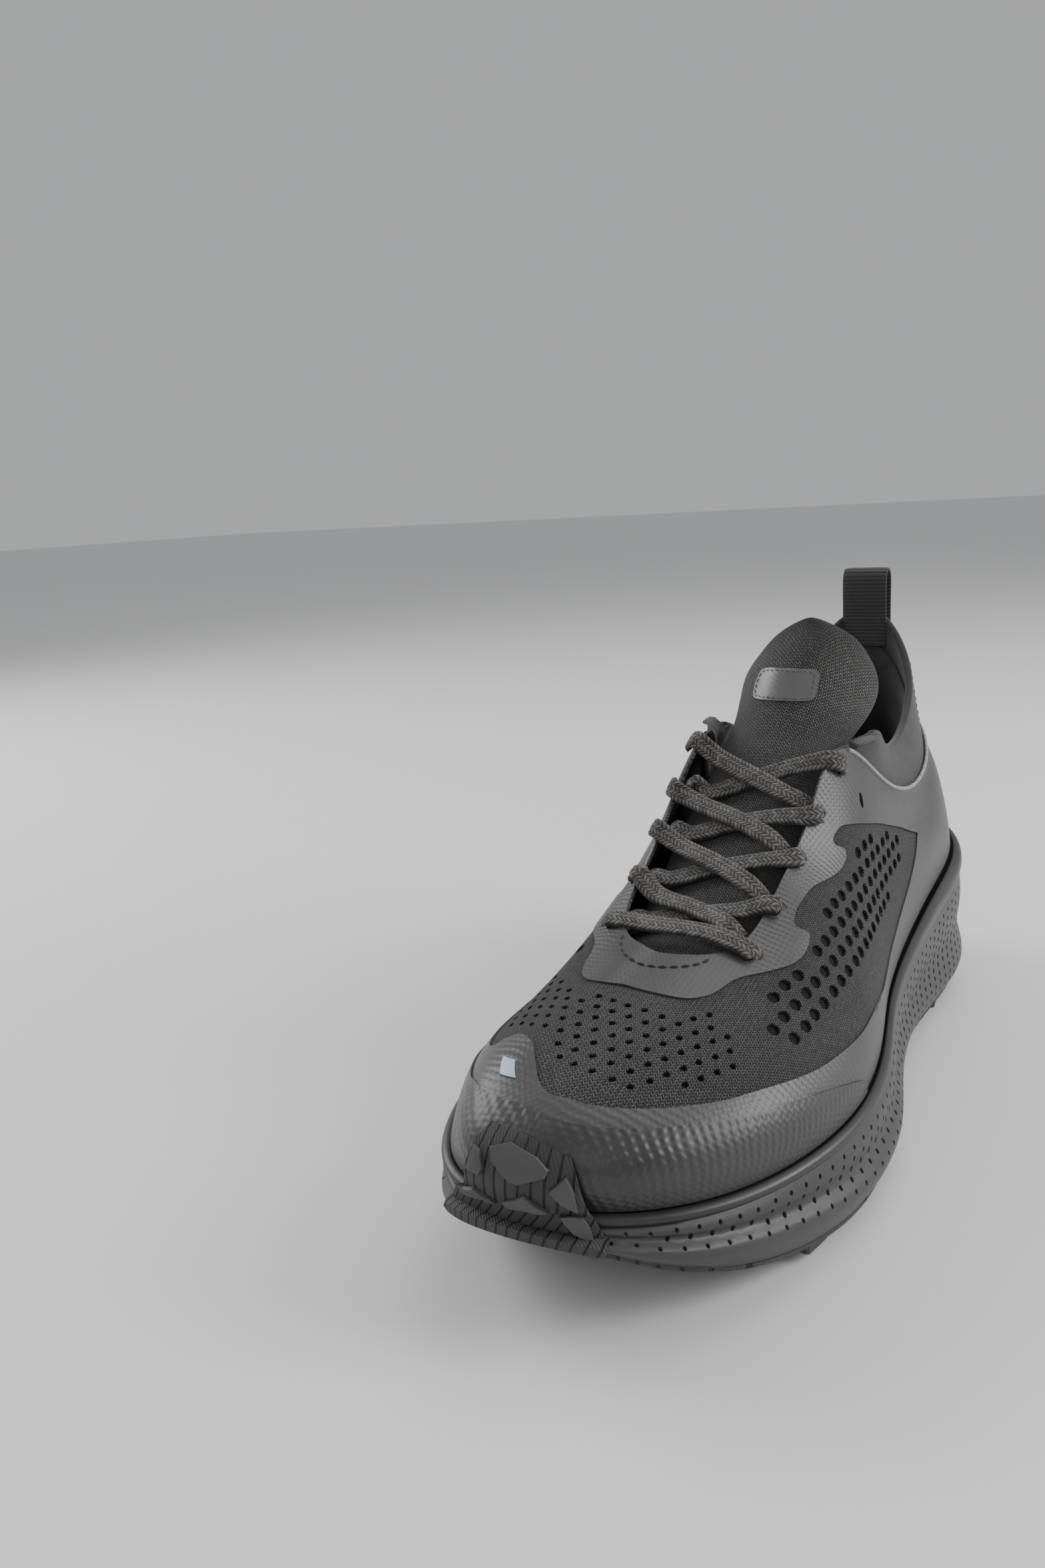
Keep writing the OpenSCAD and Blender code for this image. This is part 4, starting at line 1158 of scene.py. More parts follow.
def midsole_rim():
    """Smooth rounded band that covers the joint between foam and upper."""
    t = np.arange(-HALF_RING, HALF_RING, 0.1)
    path = chain_at(np.array(RIM_PROFILE + RIM_PROFILE[:1], float), np.arange(0, len(RIM_PROFILE), 0.5))
    rings = []
    for reach, drop in path:
        net = lowered(FEATHER + OUT * (reach * RIM_REACH[:, None]), drop * RIM_DROP)
        rings.append(ring_at(net, t))
    faces = grid_faces(len(rings), len(t), closed=True, over=True)
    shape = Shape(np.concatenate(rings), NO_FACES, faces[:, ::-1])
    return piece("rim_band", outward(shape), "rim_foam", stands_for=["midsole_rim"])


def lug(x, y, width, length, slant):
    """Outline of a parallelogram lug in plan, its corners cut."""
    cut = 0.18
    corners = np.array([(-1, -1 + cut), (-1 + cut, -1), (1, -1), (1, 1 - cut), (1 - cut, 1), (-1, 1)])
    shape = corners * (width / 2, length / 2)
    shape[:, 1] += shape[:, 0] * slant
    return stepped(np.concatenate([shape, shape[:1]]), 3)[:-1] + (x, y)


def foam_foot():
    """Places along the shoe, and the height of the foam's lower edge at each."""
    ring = FOAM.at(RING_T, 0)
    order = np.argsort(ring[:, 1])
    places = np.arange(-160, 170, 2.0)
    return places, np.interp(places, ring[order, 1], ring[order, 2])


FOOT_HEIGHTS = foam_foot()
# Sizes of a lug: pitch and size across and along, lean, and room round the lugs at the edge
LUG_PITCH_X, LUG_PITCH_Y, LUG_WIDE, LUG_LONG, LUG_LEAN, LUG_ROOM = 15.0, 14.0, 12, 9.5, 0.35, 14.6
LUG_STEPS = [(1, 0), (0.94, LUG_H * 0.75), (0.9, LUG_H), (0.82, LUG_H)]
RUBBER_SPACING = 4


def rubber_top(y):
    return np.interp(y, *FOOT_HEIGHTS) - GAP / 2


def rubber_place(uv, height):
    """Place under the rubber sheet; height counts down from its bottom face."""
    z = rubber_top(uv[:, 1]) - (OUTSOLE_T - LUG_H) - height
    return np.column_stack([uv, np.maximum(z, 0)])


def outsole(name, node, outline, lugs, stations):
    """Rubber sheet over a plan outline, with lugs below it and longer ones along its edge."""
    edge = edge_lugs(stations)
    loops = [loop for loop in edge + apart(lugs, edge, LUG_ROOM) if within(outline, loop).all()]
    points, triangles = patch([outline], loops, RUBBER_SPACING, (1, 1))
    bottom = Shape(rubber_place(points, 0), triangles[:, ::-1], weave=on_plane(points))
    points, triangles = patch([outline], [], RUBBER_SPACING, (1, 1))
    top = Shape(np.column_stack([points, rubber_top(points[:, 1])]), triangles)
    rim = np.concatenate([np.column_stack([outline, rubber_top(outline[:, 1])]), rubber_place(outline, 0)])
    wall = Shape(rim, NO_FACES, grid_faces(2, len(outline), closed=True)[:, ::-1])
    studs = []
    for loop in loops:
        stud = plug(rubber_place, loop, LUG_STEPS)
        stud.triangles, stud.quads = stud.triangles[:, ::-1], stud.quads[:, ::-1]
        studs.append(stud)
    return piece(name, joined([bottom, wall, top, *studs]), "outsole_rubber", stands_for=[node],
                 crease=30)


def lug_rows(rows, reach, centre):
    """Staggered rows of lugs; centre gives the middle of the sole at a place along the shoe."""
    lugs = []
    for row in rows:
        y = row * LUG_PITCH_Y
        shift = LUG_PITCH_X / 2 if row % 2 else 0
        for column in range(-reach, reach + 1):
            x = centre(y) + column * LUG_PITCH_X + shift
            lugs.append(lug(x, y, LUG_WIDE, LUG_LONG, LUG_LEAN * np.sign(column)))
    return lugs


def edge_lugs(stations):
    """Long lugs beside the edge of the rubber, at these stations on both sides."""
    lugs = []
    for t in [side * t for t in stations for side in (1, -1)]:
        here, ahead = FOAM.at(np.array([t, t + 0.05]), 0)[:, :2]
        along = unit(ahead - here)
        inward = np.array([-along[1], along[0]])
        lugs.append(lug(0, 0, 13, 8.5, 0.15) @ np.array([along, inward]) + here + inward * 5.2)
    return lugs


def apart(lugs, others, gap):
    """The lugs whose middles keep a gap from the middles of the others."""
    middles = np.array([loop.mean(0) for loop in others])
    return [loop for loop in lugs if np.linalg.norm(middles - loop.mean(0), axis=1).min() > gap]


def outsole_outline(first, last, notch):
    """Edge of the rubber in plan from station first to last and back along the other side."""
    t = np.arange(first, last + 0.01, 0.1)
    outer, inner = FOAM.at(t, 0)[:, :2], FOAM.at(-t, 0)[:, :2]
    middle = (outer[-1] + inner[-1]) / 2 + (0, notch)
    back = stepped([outer[-1], middle, inner[-1]], 3)[1:-1]
    return np.concatenate([outer, back, inner[::-1]])


def forefoot_middle(y):
    return 0.5 * (np.interp(y, [-150, -60, 10], [1, 6, 10]) + 4)


def outsole_forefoot():
    """Rubber under the forefoot."""
    lugs = lug_rows(range(-9, 2), 3, forefoot_middle)
    return outsole("forefoot_rubber", "outsole_forefoot", outsole_outline(0.75, 6.35, -14), lugs,
                   [1.5, 2.5, 3.4, 4.3, 5.1, 5.9])


def outsole_heel():
    """Rubber under the heel."""
    rim = FOAM.at(np.arange(7.05, 15, 0.1), 0)[:, :2]
    middle = (rim[0] + rim[-1]) / 2 + (0, 12)
    front = stepped([rim[-1], middle, rim[0]], 3)[1:-1]
    lugs = lug_rows(range(4, 11), 2, lambda y: 2)
    return outsole("heel_rubber", "outsole_heel", np.concatenate([rim, front]), lugs, [7.4, 8.3, 9.2, 10.2])


# Places up the toe: rows of the foam from under the sole, then rows of the upper
BUMPER_FOAM = [0, 0.5, 1, 1.5, 2, 2.5, 3]
BUMPER_BRIDGE = [0.25, 0.5, 0.75]
BUMPER_UPPER = [(0.3, 3.2), (0.7, 2.9), (1.15, 2.7), (1.55, 2.6)]
BUMPER_EDGE = [(-0.64, 0), (1.2, 0), (1.24, 3), (1.16, 6), (1.06, 9), (1.0, 10.4), (0.95, 11.6), (0.9, 12.2),
               (0.6, 12.6), (0.3, 12.85), (0.04, 12.9), (-0.06, 12.2), (-0.16, 11), (-0.4, 8.6),
               (-0.5, 6), (-0.6, 3)]
BUMPER_LUGS = [
    [(-0.1, 11.2), (-0.03, 12), (0.05, 11.9), (0.12, 11.45), (0.08, 11.15)],
    [(0.15, 12.1), (0.36, 12.4), (0.62, 12.1), (0.73, 11.75), (0.7, 11.5), (0.46, 11.15), (0.38, 11.2),
     (0.2, 11.7)],
    [(0.72, 11.1), (0.87, 11.6), (0.92, 11.2), (0.94, 10.3), (0.8, 10.7)],
    [(-0.34, 9.2), (-0.2, 10.1), (-0.05, 10.5), (0.2, 9.9), (0.2, 9.6), (0.05, 8.9), (-0.26, 8.5)],
    [(0.27, 10.2), (0.5, 10.8), (0.7, 10.1), (0.57, 9.3), (0.46, 9.2), (0.3, 9.7)],
    [(0.78, 9.1), (0.97, 9.6), (1.03, 8), (1.08, 5.6), (0.9, 6.6)],
]
STATION_TOE_MM, ROW_TOE_MM = 26.0, 3.2
BUMPER_T = 1.2


def toe_bumper():
    """Rubber that wraps up over the toe, and the flat lugs on it."""
    t = np.linspace(-1.3, 1.5, 29)
    below = [FOAM.at(t, row) for row in BUMPER_FOAM]
    above = [UPPER.at(t, row) + UPPER.normal(t, row) * over for row, over in BUMPER_UPPER]
    bridge = [below[-1] * (1 - share) + above[0] * share for share in BUMPER_BRIDGE]
    net = np.array(below + bridge + above)

    def place(uv):
        column = (uv[:, 0] - t[0]) / (t[-1] - t[0]) * (len(t) - 1)
        lines = chain_at(net.reshape(len(net), -1), uv[:, 1]).reshape(len(uv), len(t), 3)
        i = np.clip(column.astype(int), 0, len(t) - 2)
        f = (column - i)[:, None]
        k = np.arange(len(uv))
        return lines[k, i] * (1 - f) + lines[k, i + 1] * f

    def raised(uv, height):
        step = 0.02
        across = place(uv + (step, 0)) - place(uv - (step, 0))
        up = place(uv + (0, 0.1)) - place(uv - (0, 0.1))
        return place(uv) + unit(np.cross(across, up)) * (GAP + height)

    scale = (STATION_TOE_MM, ROW_TOE_MM)
    edge = stepped(BUMPER_EDGE + BUMPER_EDGE[:1], 1.5, scale)[:-1]
    loops = [stepped(loop + loop[:1], 2.5, scale)[:-1] for loop in BUMPER_LUGS]
    points, triangles = patch([edge], [], 2, scale)
    sheet = thick(raised(points, BUMPER_T), raised(points, 0), triangles, on_plane(points, scale))
    base = piece("bumper_rubber", outward(sheet), "outsole_rubber", stands_for=["toe_bumper"],
                 crease=30)
    studs = []
    for loop in loops:
        stud = plug(raised, loop, [(1, 1.0), (0.99, 1.9), (0.94, 2.3), (0.6, 2.35)])
        foot = plug(raised, loop, [(1, 1.0)])
        foot.triangles = foot.triangles[:, ::-1]
        studs.append(outward(joined([stud, foot])))
    piece("bumper_lugs", joined(studs), "lug_rubber", crease=25)
    return base


# ---- Inside and collar ----
def lofted(sections, weave=None):
    """Closed solid through sections (sections, points round each, 3); each end is closed by strips
    between the first and second half of its points."""
    count, around = sections.shape[:2]
    skin = grid_faces(count, around, closed=True)
    k = np.arange(around // 2 - 1)
    strip = np.stack([k, k + 1, around - 2 - k, around - 1 - k], -1)
    last = (count - 1) * around
    quads = np.concatenate([skin, strip[:, ::-1], strip + last])
    return Shape(sections, NO_FACES, quads, weave)


def outward(shape):
    """The same solid with its faces turned out."""
    a, b, c = (shape.points[shape.triangles[:, k]] for k in range(3))
    volume = np.einsum("ij,ij->", a, np.cross(b, c))
    for one, two in ((1, 2), (2, 3)):
        a, b, c = (shape.points[shape.quads[:, k]] for k in (0, one, two))
        volume += np.einsum("ij,ij->", a, np.cross(b, c))
    if volume < 0:
        shape.triangles, shape.quads = shape.triangles[:, ::-1], shape.quads[:, ::-1]
    return shape


def smooth_step(value, low, high):
    f = np.clip((np.asarray(value, float) - low) / (high - low), 0, 1)
    return f * f * (3 - 2 * f)


def run_length(points, axis):
    """Distance along an axis of a grid of points, from its first row or column."""
    steps = np.linalg.norm(np.diff(points, axis=axis), axis=-1)
    start = np.zeros_like(np.take(steps, [0], axis=axis))
    return np.cumsum(np.concatenate([start, steps], axis=axis), axis=axis)


def flow_over(points):
    """Thread coordinates of a grid: across its columns and along its rows, in mm."""
    middle = points[points.shape[0] // 2][None]
    across = np.broadcast_to(run_length(middle, 1), points.shape[:2])
    return np.stack([across, run_length(points, 0), np.zeros(points.shape[:2])], -1)


COLLAR_T = 3.1


def collar():
    """Padded knit collar with a rolled opening edge."""
    t = np.linspace(COLLAR_FIRST, COLLAR_LAST, 170)
    climb = np.linspace(-0.12, 1, 26)
    half = COLLAR_T / 2
    roll = half / np.linalg.norm(COLLAR.sample(t, 2.0)[2], axis=-1)
    turn = np.radians(np.linspace(0, 90, 6))
    rows = [(w * (2 - roll), -0.25 * (w < 0.02)) for w in climb[:-1]]
    rows += [(2 - roll + roll * math.sin(a), half * (math.cos(a) - 1)) for a in turn]
    outer = [COLLAR.at(t, w, h) for w, h in rows]
    inner = [COLLAR.at(t, w, -COLLAR_T - h) for w, h in rows]
    inner[-1] = COLLAR.at(t, rows[-1][0], -half - 0.12)
    outer[-1] = COLLAR.at(t, rows[-1][0], -half + 0.12)
    ring = np.array(outer + inner[::-1]).transpose(1, 0, 2)
    flow = flow_over(ring)[..., [1, 0, 2]]
    made = piece("collar_knit", outward(lofted(ring, flow)), "collar_knit", stands_for=["collar"])
    return made


# Stations that the lining spans, and those between which it has its full padding
LINING_SPAN, LINING_FULL = (7.3, 14.7), (8.7, 13.3)
HEEL_LINING_T = 0.9
# Rows of the lining: surface, row on it, depth below it where padded, and depth at the ends
LINING_ROWS = [
    (UPPER, -0.5, 6.8, 1.9), (UPPER, 0.3, 7.9, 1.9), (UPPER, 1.2, 7.9, 1.9), (UPPER, 2.2, 8.0, 1.9),
    (UPPER, 3, 8.1, 1.9), (UPPER, 3.6, 7.6, 1.9), (COLLAR, 0.15, 6.6, 2.6),
    (COLLAR, 0.6, 5.0, COLLAR_T + 0.1), (COLLAR, 1.0, 4.0, COLLAR_T + 0.1),
    (COLLAR, 1.25, COLLAR_T + 0.1, COLLAR_T + 0.1),
]


def heel_lining():
    """Textile lining from the footbed up to the collar's inner face, over the collar padding."""
    t = np.linspace(*LINING_SPAN, 120)
    ends = smooth_step(t, LINING_SPAN[0], LINING_FULL[0]) * smooth_step(-t, -LINING_SPAN[1], -LINING_FULL[1])
    points, depths = [], []
    for surface, v, deep, flat in LINING_ROWS:
        depth = flat + (deep - flat) * ends
        points.append(surface.at(t, v, -depth))
        depths.append(surface.at(t, v, -depth - HEEL_LINING_T))
    fine = np.linspace(0, len(LINING_ROWS) - 1, 60)
    outer = chain_at(np.reshape(points, (len(LINING_ROWS), -1)), fine).reshape(len(fine), -1, 3)
    inner = chain_at(np.reshape(depths, (len(LINING_ROWS), -1)), fine).reshape(len(fine), -1, 3)
    made = outward(thick_grid(outer, inner, flow_over(inner)))
    return piece("heel_panel", made, "heel_lining", stands_for=["heel_lining"])


# Height of the sockliner over the footbed, its thickness, and its section: inset from the feather
# line and height over its underside
SOCK_LIFT, SOCK_T = 1.6, 4
SOCK_BELOW = [(12, 0), (11.1, 1), (11, 5)]
SOCK_ABOVE = [(11, 5), (11.3, 5.5), (12.2, 5.6), (13.5, 5.1), (16, 4.3), (19, SOCK_T)]


def insole():
    """Sockliner: moulded foam with a textile face."""
    shapes = []
    for section, lift, down in ((SOCK_BELOW, SOCK_LIFT, True), (SOCK_ABOVE, SOCK_LIFT + SOCK_T, False)):
        rings = [inset_ring(inset, SOCK_LIFT + height, RING_T) for inset, height in section]
        shell = Shape(np.concatenate(rings), NO_FACES, grid_faces(len(rings), len(RING_T), closed=True))
        edge = rings[0] if down else rings[-1]
        cap = flat_cap(edge, lambda x, y, up=lift: height_in(FOOTBED, y) + up, down)
        shapes.append(joined([shell, cap]))
    made = piece("sockliner", outward(welded(joined(shapes))), "sockliner", body="sockliner",
                 stands_for=["insole"])
    return made


PIPING_SPAN, PIPING_ROW, PIPING_LIFT = (7.15, 14.85), 3.97, 0.25
PIPING_R, PIPING_RIB, RIB_HEIGHT, PIPING_WIDER = 0.62, 1.5, 0.1, 1.15


def collar_piping():
    """Ribbed tape along the seam between upper and collar."""
    t = np.linspace(*PIPING_SPAN, 520)
    route = UPPER.at(t, PIPING_ROW, FILM_T + PIPING_LIFT)
    normals = UPPER.normal(t, 3.9)
    run = distances(route)
    a = np.arange(10) * 2 * math.pi / 10
    ridge = PIPING_R + RIB_HEIGHT * np.cos(run * 2 * math.pi / PIPING_RIB)
    outline = np.stack([np.outer(ridge, np.cos(a)) * PIPING_WIDER, np.outer(ridge, np.sin(a))], -1)
    return piece("piping_tape", outward(tube(route, normals, outline)), "piping",
                 stands_for=["collar_piping"], crease=60)


def stitch_row(route, normals, length, gap, radius, lift=0.1):
    """Separate stitches along a line: short threads that dive at both ends."""
    run = distances(route)
    stitches = []
    share = np.linspace(0, 1, 6)
    a = np.arange(6) * math.pi / 3
    start = gap / 2
    while start + length < run[-1]:
        places = start + share * length
        line = along_line(places, run, route)
        up = unit(along_line(places, run, normals))
        line = line + up * (lift + radius * 0.9 * np.sin(share * math.pi) - radius * 0.8)[:, None]
        size = radius * (0.55 + 0.45 * np.sin(share * math.pi))
        outline = np.stack([np.outer(size, np.cos(a)), np.outer(size, np.sin(a))], -1)
        stitches.append(tube(line, up, outline))
        start += length + gap
    return joined(stitches)


VAMP_SEAM = [(-2.35, 3.95), (-1.9, 3.87), (-1.2, 3.82), (-0.4, 3.8), (0.4, 3.8), (1.1, 3.82),
             (1.7, 3.86), (2.15, 3.93)]


def vamp_stitching():
    """Row of bold stitches round the front of the throat."""
    line = eased(VAMP_SEAM, 12)
    shape = stitch_row(UPPER.at(*line.T, FILM_T), UPPER.normal(*line.T), 2.6, 0.7, 0.42, 0.3)
    return piece("vamp_stitches", outward(shape), "thread", stands_for=["vamp_stitching"])


def collar_seams():
    """The row of stitches under the piping, and the seam down either side of the heel."""
    t = np.linspace(7.3, 14.7, 300)
    v = 3.86
    rows = [stitch_row(UPPER.at(t, v, FILM_T), UPPER.normal(t, v), 1.7, 1.1, 0.22, 0.12)]
    for station in (9.75, 12.25):
        w = np.linspace(0.15, 1.9, 60)
        here = np.full(len(w), station) + 0.25 * (11 - station) * w / 2
        rows.append(stitch_row(COLLAR.at(here, w), COLLAR.normal(here, w), 2.0, 0.9, 0.22, 0.1))
    return piece("collar_seams", outward(joined(rows)), "pale_thread")


# ---- Tongue ----
TONGUE_LINE = np.array(TONGUE + FLAP + [(8.6, 43.2, 160.3, 0.8, 0.2)], float)
TONGUE_T = 3.0
# The places between which the tongue starts to follow the flap's body
FLAP_BEND = np.array([[0, 10, 110.0], [0, 27, 131.0]])


def tongue_face(s, v, depth=0.0):
    """Place on the tongue's front: s from -1 on the inner side to 1, v along its profile."""
    s, v = np.broadcast_arrays(np.asarray(s, float), np.asarray(v, float))

    def front(s, v):
        q = chain_at(TONGUE_LINE, v)
        side = np.abs(s) ** 2.2
        fall = np.minimum(3, np.maximum(q[..., 3], 0) / 7) * side
        return np.stack([q[..., 0] + s * q[..., 3], q[..., 1] + side * q[..., 4], q[..., 2] - fall], -1)

    step = 0.01
    across = front(s + step, v) - front(s - step, v)
    up = front(s, v + step) - front(s, v - step)
    normal = unit(np.cross(across, up))
    return front(s, v) - normal * np.asarray(depth, float)[..., None]


def tongue():
    """Knit tongue and its flap in one padded piece, which bends where the flap leaves the laces."""
    last = len(TONGUE_LINE) - 1
    v = np.linspace(0, last, 150)[:, None]
    s = np.sin(np.linspace(-1, 1, 44) * math.pi / 2)
    half = TONGUE_T / 2
    round_side = np.sqrt(1 - np.abs(s) ** 14)
    round_end = np.sqrt(np.clip(1 - (v / last) ** 60, 0, 1))
    swell = np.maximum(round_side * round_end, 0.07)
    outer = tongue_face(s, v, half - half * swell)
    inner = tongue_face(s, v, half + half * swell)
    ring = np.concatenate([outer, inner[:, ::-1]], axis=1)
    made = piece("tongue_knit", outward(lofted(ring, flow_over(ring))), "tongue_knit",
                 stands_for=["tongue", "tongue_flap"], bend=("flap", *FLAP_BEND))
    return made


PATCH_MIDDLE = (-0.05, 7.75)
PATCH_SIZE = (21.0, 10.5)
PATCH_TOP = 0.75


def tongue_patch():
    """Plain rounded patch with a stitched border, in place of a mark."""
    outline = rounded_box(*PATCH_SIZE, 0.3, 0.3, 40)
    scale = (24.0, 9.0)
    loop = outline / scale + PATCH_MIDDLE

    def place(uv, lift):
        return tongue_face(*uv.T, -lift)

    points, triangles = patch([loop], [], 1.5, scale)
    shape = thick(place(points, PATCH_TOP), place(points, 0.1), triangles, on_plane(points, scale))
    made = piece("flap_patch", outward(shape), "patch", body="flap", stands_for=["tongue_patch"])
    inner = outline * (0.9, 0.84) / scale + PATCH_MIDDLE
    inner = stepped(np.concatenate([inner, inner[:1]]), 0.5, scale)
    route = place(inner, PATCH_TOP)
    normals = unit(place(inner, 1.0) - route)
    piece("patch_stitching", outward(stitch_row(route, normals, 1.5, 0.6, 0.2, 0.12)), "pale_thread",
          body="flap")
    return made


# ---- Lace ----
LACE_W, LACE_T = 6.5, 2.0
LACE_STEP, STRAND_PITCH, STRAND_COLUMN = 0.6, 1.5, 3.25
OVER_FILM = FILM_T + 0.45 + LACE_T / 2
UNDER_KNIT = -1.6 - 0.4 - LACE_T / 2
LOW_LIFT = 0.5 + LACE_T / 2
HIGH_LIFT = LOW_LIFT + LACE_T + 0.6


def eyelet(side, k, lift):
    t, v = EYELETS[k]
    n = UPPER.normal(side * t, v)
    return UPPER.at(side * t, v) + n * lift, n


def throat(side, t, lift, inward):
    n = UPPER.normal(side * t, 3.9)
    return UPPER.at(side * t, 4.0) + n * lift - np.array([side * inward, 0, 0]), n


def over_tongue(x, y, lift):
    line = np.array(TONGUE, float)

    def up(at):
        return np.interp(at, line[:, 1], line[:, 2])

    n = unit(np.array([0, up(y - 1) - up(y + 1), 2.0]))
    return np.array([x, y, up(y)]) + n * lift, n


# How far to the side a lace touches down on the tongue
TONGUE_SIDE = 13
BAR_SIDE, BAR_Y = 10, -54


def crossing(side, k, lift):
    """From eyelet k under the film, out at the throat, over the tongue and in at eyelet k + 1."""
    leave, arrive = EYELETS[k][0] + 0.08, EYELETS[k + 1][0]
    out = throat(side, leave, UNDER_KNIT, 2)[0]
    far = eyelet(-side, k + 1, OVER_FILM)[0]
    near_y, far_y = out[1] * 0.8 + far[1] * 0.2, out[1] * 0.2 + far[1] * 0.8
    return [
        eyelet(side, k, UNDER_KNIT),
        throat(side, leave, UNDER_KNIT, 0.5),
        over_tongue(side * TONGUE_SIDE, near_y - 1, lift),
        over_tongue(0, (near_y + far_y) / 2, lift + 0.6),
        over_tongue(-side * TONGUE_SIDE, far_y, lift + 0.6),
        throat(-side, arrive - 0.1, OVER_FILM, 1),
        eyelet(-side, k + 1, OVER_FILM),
    ]


TAIL = [(21, 21, 100), (23, 24, 84), (26, 18, 70), (28, 4, 63), (28, -14, 60)]


def tail(side):
    """The end of the lace, tucked between the tongue and the quarter."""
    flat = np.array([side, 0, 0.0])
    stops = [(np.array([side * x, y, z], float), flat) for x, y, z in TAIL]
    return [eyelet(side, 4, UNDER_KNIT - 1.5)] + stops


def half_lace(side):
    """Where the lace passes from the lowest bar up to one end: points and normals."""
    lifts = (HIGH_LIFT, LOW_LIFT) if side > 0 else (LOW_LIFT, HIGH_LIFT)
    stops = []
    for k in range(4):
        stops += crossing(side if k % 2 == 0 else -side, k, lifts[k % 2])
    return stops + tail(side)


def lace():
    """One flat lace through all the eyelets, with its strands raised."""
    bar = [eyelet(-1, 0, OVER_FILM), over_tongue(-BAR_SIDE, BAR_Y, LOW_LIFT + 4),
           over_tongue(BAR_SIDE, BAR_Y, LOW_LIFT + 4), eyelet(1, 0, OVER_FILM)]
    stops = half_lace(-1)[::-1] + bar + half_lace(1)
    line = np.array([p for p, _ in stops])
    normals = np.array([n for _, n in stops])
    fine, flat = eased(line, 24), eased(normals, 24)
    run = distances(fine)
    even = np.arange(0, run[-1], LACE_STEP)
    route = along_line(even, run, fine)
    up = unit(along_line(even, run, flat))
    x, y = rounded_box(LACE_W, LACE_T, 0.75, 0.6, 24, 0.5).T
    leg = np.abs((x / STRAND_COLUMN) % 1 - 0.5)
    wave = 0.5 + 0.5 * np.cos(2 * math.pi * (even[:, None] / STRAND_PITCH + 2 * leg))
    strand = wave * np.sin(2 * math.pi * leg) ** 0.6
    outline = np.stack([x * (1 + 0.02 * wave), y + np.sign(y) * 0.28 * (strand - 0.4)], -1)
    shape = outward(tube(route, up, outline))
    return piece("flat_lace", shape, "lace_braid", stands_for=["lace"], crease=80)


# ---- Pull loop ----
LOOP_W, LOOP_T, LOOP_X = 18.5, 1.6, -1.0
# Heights of the seams, and the places between which the strip starts to follow the loop's body
LOOP_SEAMS = (132.5, 149)
LOOP_BEND = np.array([[0, 147.6, 151.0], [0, 147.6, 159.0]])
LOOP_PATH = [(151.5, 130), (151.6, 138), (151.5, 147), (151.4, 155), (151.4, 161), (151.1, 165.4),
             (149.8, 168.2), (147.6, 169.1), (145.4, 168.2), (144.1, 165.4), (143.9, 161),
             (144.1, 156), (144.5, 150), (144.6, 144), (144.2, 137)]


def pull_loop():
    """One strip of webbing, sewn on outside, looped over the collar's edge and sewn on inside."""
    path = chain_at(np.array(LOOP_PATH, float), np.linspace(0, len(LOOP_PATH) - 1, 260))
    route = np.column_stack([np.full(len(path), LOOP_X), path])
    along = unit(np.gradient(route, axis=0))
    normals = np.cross(along, np.array([1.0, 0, 0]))
    run = distances(route)
    x, y = rounded_box(LOOP_W, 2, 0.35, 0.5, 28, 0.5).T
    thick_here = LOOP_T / 2 - 0.12 + 0.12 * np.cos(run * 2 * math.pi / 1.5)
    outline = np.stack([np.broadcast_to(x, (len(run), len(x))), np.outer(thick_here, y)], -1)
    made = piece("pull_loop_webbing", outward(tube(route, normals, outline)), "webbing",
                 stands_for=["pull_loop", "loop_base"], bend=("loop", *LOOP_BEND), crease=60)
    seams = []
    for z in LOOP_SEAMS:
        x = np.linspace(LOOP_X - LOOP_W / 2 + 1.5, LOOP_X + LOOP_W / 2 - 1.5, 20)
        y = np.interp(z, [p[1] for p in LOOP_PATH[:5]], [p[0] for p in LOOP_PATH[:5]]) + LOOP_T / 2
        line = np.column_stack([x, np.full(20, y), np.full(20, z)])
        seams.append(stitch_row(line, np.tile([0, 1.0, 0], (20, 1)), 1.9, 0.6, 0.24, 0.12))
    piece("loop_stitching", outward(joined(seams)), "thread")
    return made


# ---- Make it ----
CARRIED = {"strobel_board": "board", "toe_puff": "stiffener", "heel_counter": "stiffener",
           "collar_foam": "padding", "lace_tips": "lace_tip"}


def carry_over():
    """The hidden parts stay as they are, with their own materials."""
    for node, finish in CARRIED.items():
        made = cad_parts[node]
        made.data.materials.clear()
        made.data.materials.append(MATERIALS[finish])


for make in (midsole, midsole_rim, outsole_forefoot, outsole_heel, toe_bumper, bootie, knit_upper,
             film_overlay, toe_guard, toe_reflector, collar, heel_lining, insole, collar_piping,
             vamp_stitching, collar_seams, tongue, tongue_patch, lace, pull_loop, carry_over):
    make()


# ---- Stage, camera and light ----
FLOOR_REACH = 12
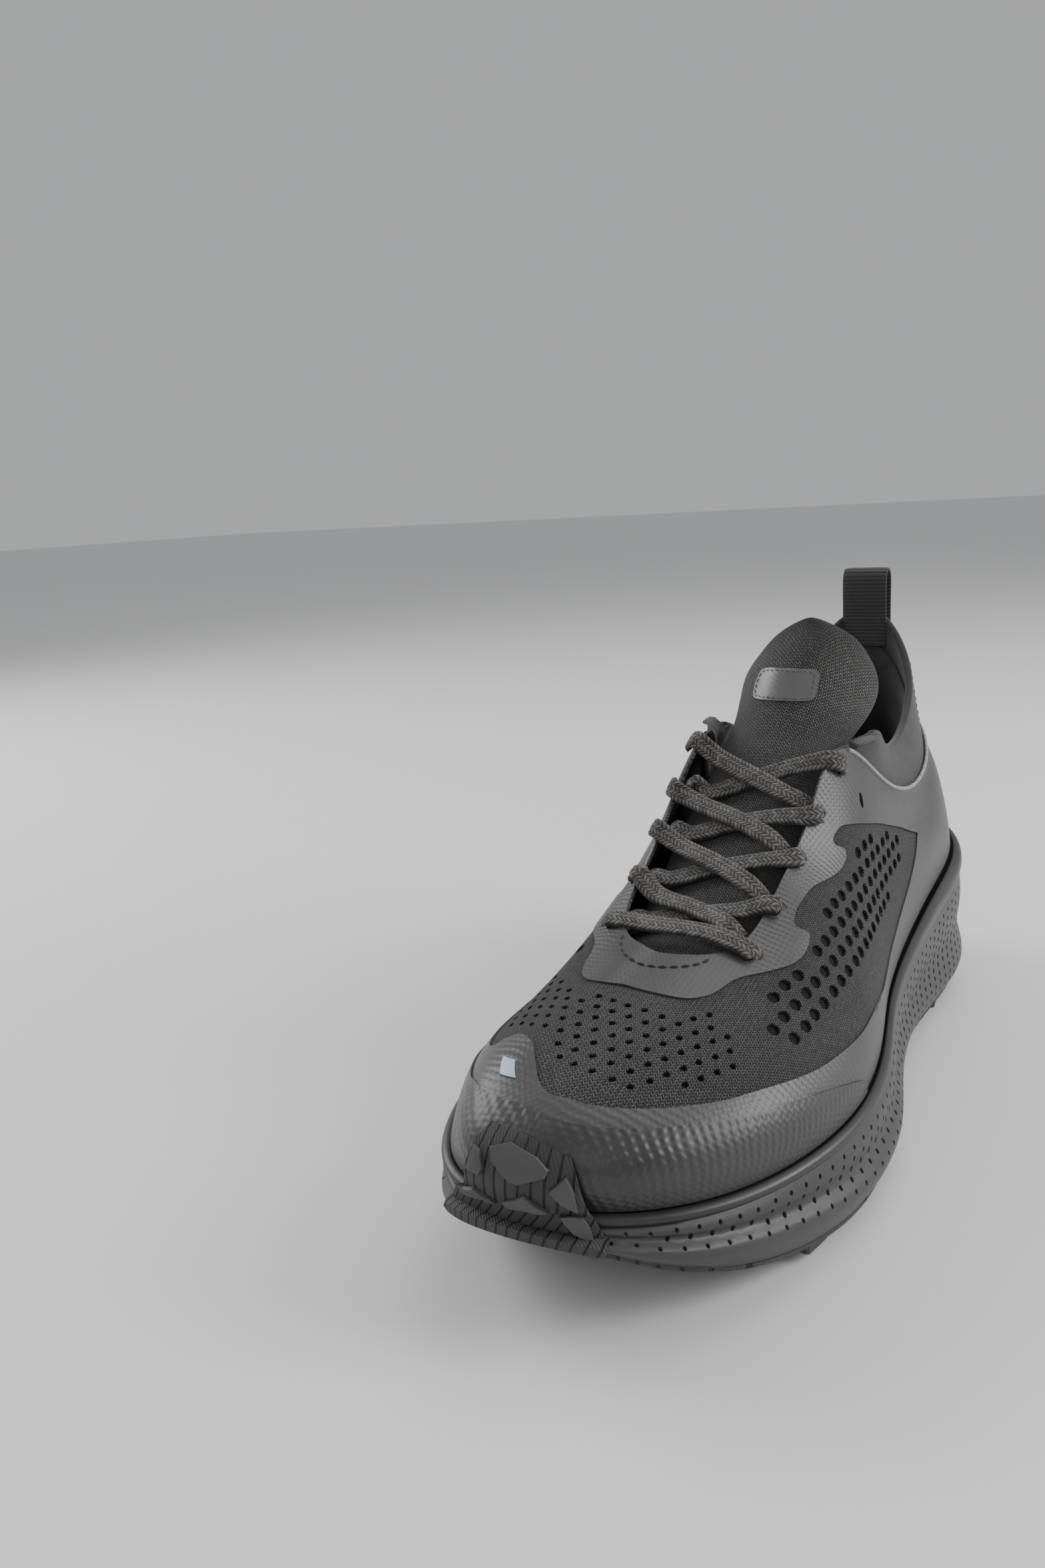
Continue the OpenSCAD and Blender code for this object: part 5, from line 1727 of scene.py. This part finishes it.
# Softboxes: name, place, target, size in metres and power in watts
LIGHTS = [
    ("key", (1.2, 0.45, 0.8), (0, 0, 0.06), (0.7, 0.9), 19),
    ("left", (-1.2, 0.0, 0.8), (0, 0, 0.05), (0.8, 0.8), 12),
    ("top", (0.1, 0.6, 1.4), (0, 0, 0.05), (1.0, 0.8), 6),
    ("front", (0.2, -1.4, 0.9), (0, -0.05, 0.05), (1.0, 0.6), 3),
]
SKY, SKY_STRENGTH = (0.86, 0.87, 0.89, 1), 0.52
CAMERA_LENS, CAMERA_SENSOR = 26.918, 36
CAMERA_PLACE = (0.1351, -0.3645, 0.2048)
CAMERA_RIGHT = (0.85198, 0.52061, -0.05559)
CAMERA_UP = (-0.07555, 0.22731, 0.97089)
CAMERA_BACK = (0.51809, -0.82298, 0.23300)


def plain(name, colour, roughness):
    """Matt paint with a faint change of tone."""
    f = Finish(name)
    tone = f.noise(f.place(), 400, 2)
    f.drive("Base Color", f.mix(f.spread(tone, 0.3, 0.7), colour * 0.985, colour))
    f.shader.inputs["Roughness"].default_value = roughness
    return f.material


def floor():
    """Plain pale floor."""
    mesh = bpy.data.meshes.new("floor")
    corners = [(x * FLOOR_REACH, y * FLOOR_REACH, 0) for x, y in ((-1, -1), (1, -1), (1, 1), (-1, 1))]
    mesh.from_pydata(corners, [], [(0, 1, 2, 3)])
    mesh.materials.append(plain("floor", 0.74, 0.7))
    made = bpy.data.objects.new("floor", mesh)
    bpy.context.scene.collection.objects.link(made)


def camera():
    """The camera of the main view."""
    data = bpy.data.cameras.new("camera")
    data.lens, data.sensor_width = CAMERA_LENS, CAMERA_SENSOR
    data.clip_start, data.clip_end = 0.01, 20
    made = bpy.data.objects.new("camera", data)
    turned = Matrix((CAMERA_RIGHT, CAMERA_UP, CAMERA_BACK)).transposed().to_4x4()
    made.matrix_world = Matrix.Translation(CAMERA_PLACE) @ turned
    bpy.context.scene.collection.objects.link(made)
    bpy.context.scene.camera = made


def softbox(name, place, target, size, power):
    """A rectangular light that faces its target."""
    data = bpy.data.lights.new(name, "AREA")
    data.shape, data.size, data.size_y, data.energy = "RECTANGLE", size[0], size[1], power
    made = bpy.data.objects.new(name, data)
    aim = np.array(target) - np.array(place)
    made.location = place
    made.rotation_mode = "QUATERNION"
    made.rotation_quaternion = Vector(aim).to_track_quat("-Z", "Y")
    bpy.context.scene.collection.objects.link(made)


def studio():
    """Four soft lights and a pale sky."""
    for light in LIGHTS:
        softbox(*light)
    world = bpy.data.worlds.new("studio")
    world.use_nodes = True
    sky = world.node_tree.nodes["Background"].inputs
    sky["Color"].default_value, sky["Strength"].default_value = SKY, SKY_STRENGTH
    bpy.context.scene.world = world


floor()
camera()
studio()
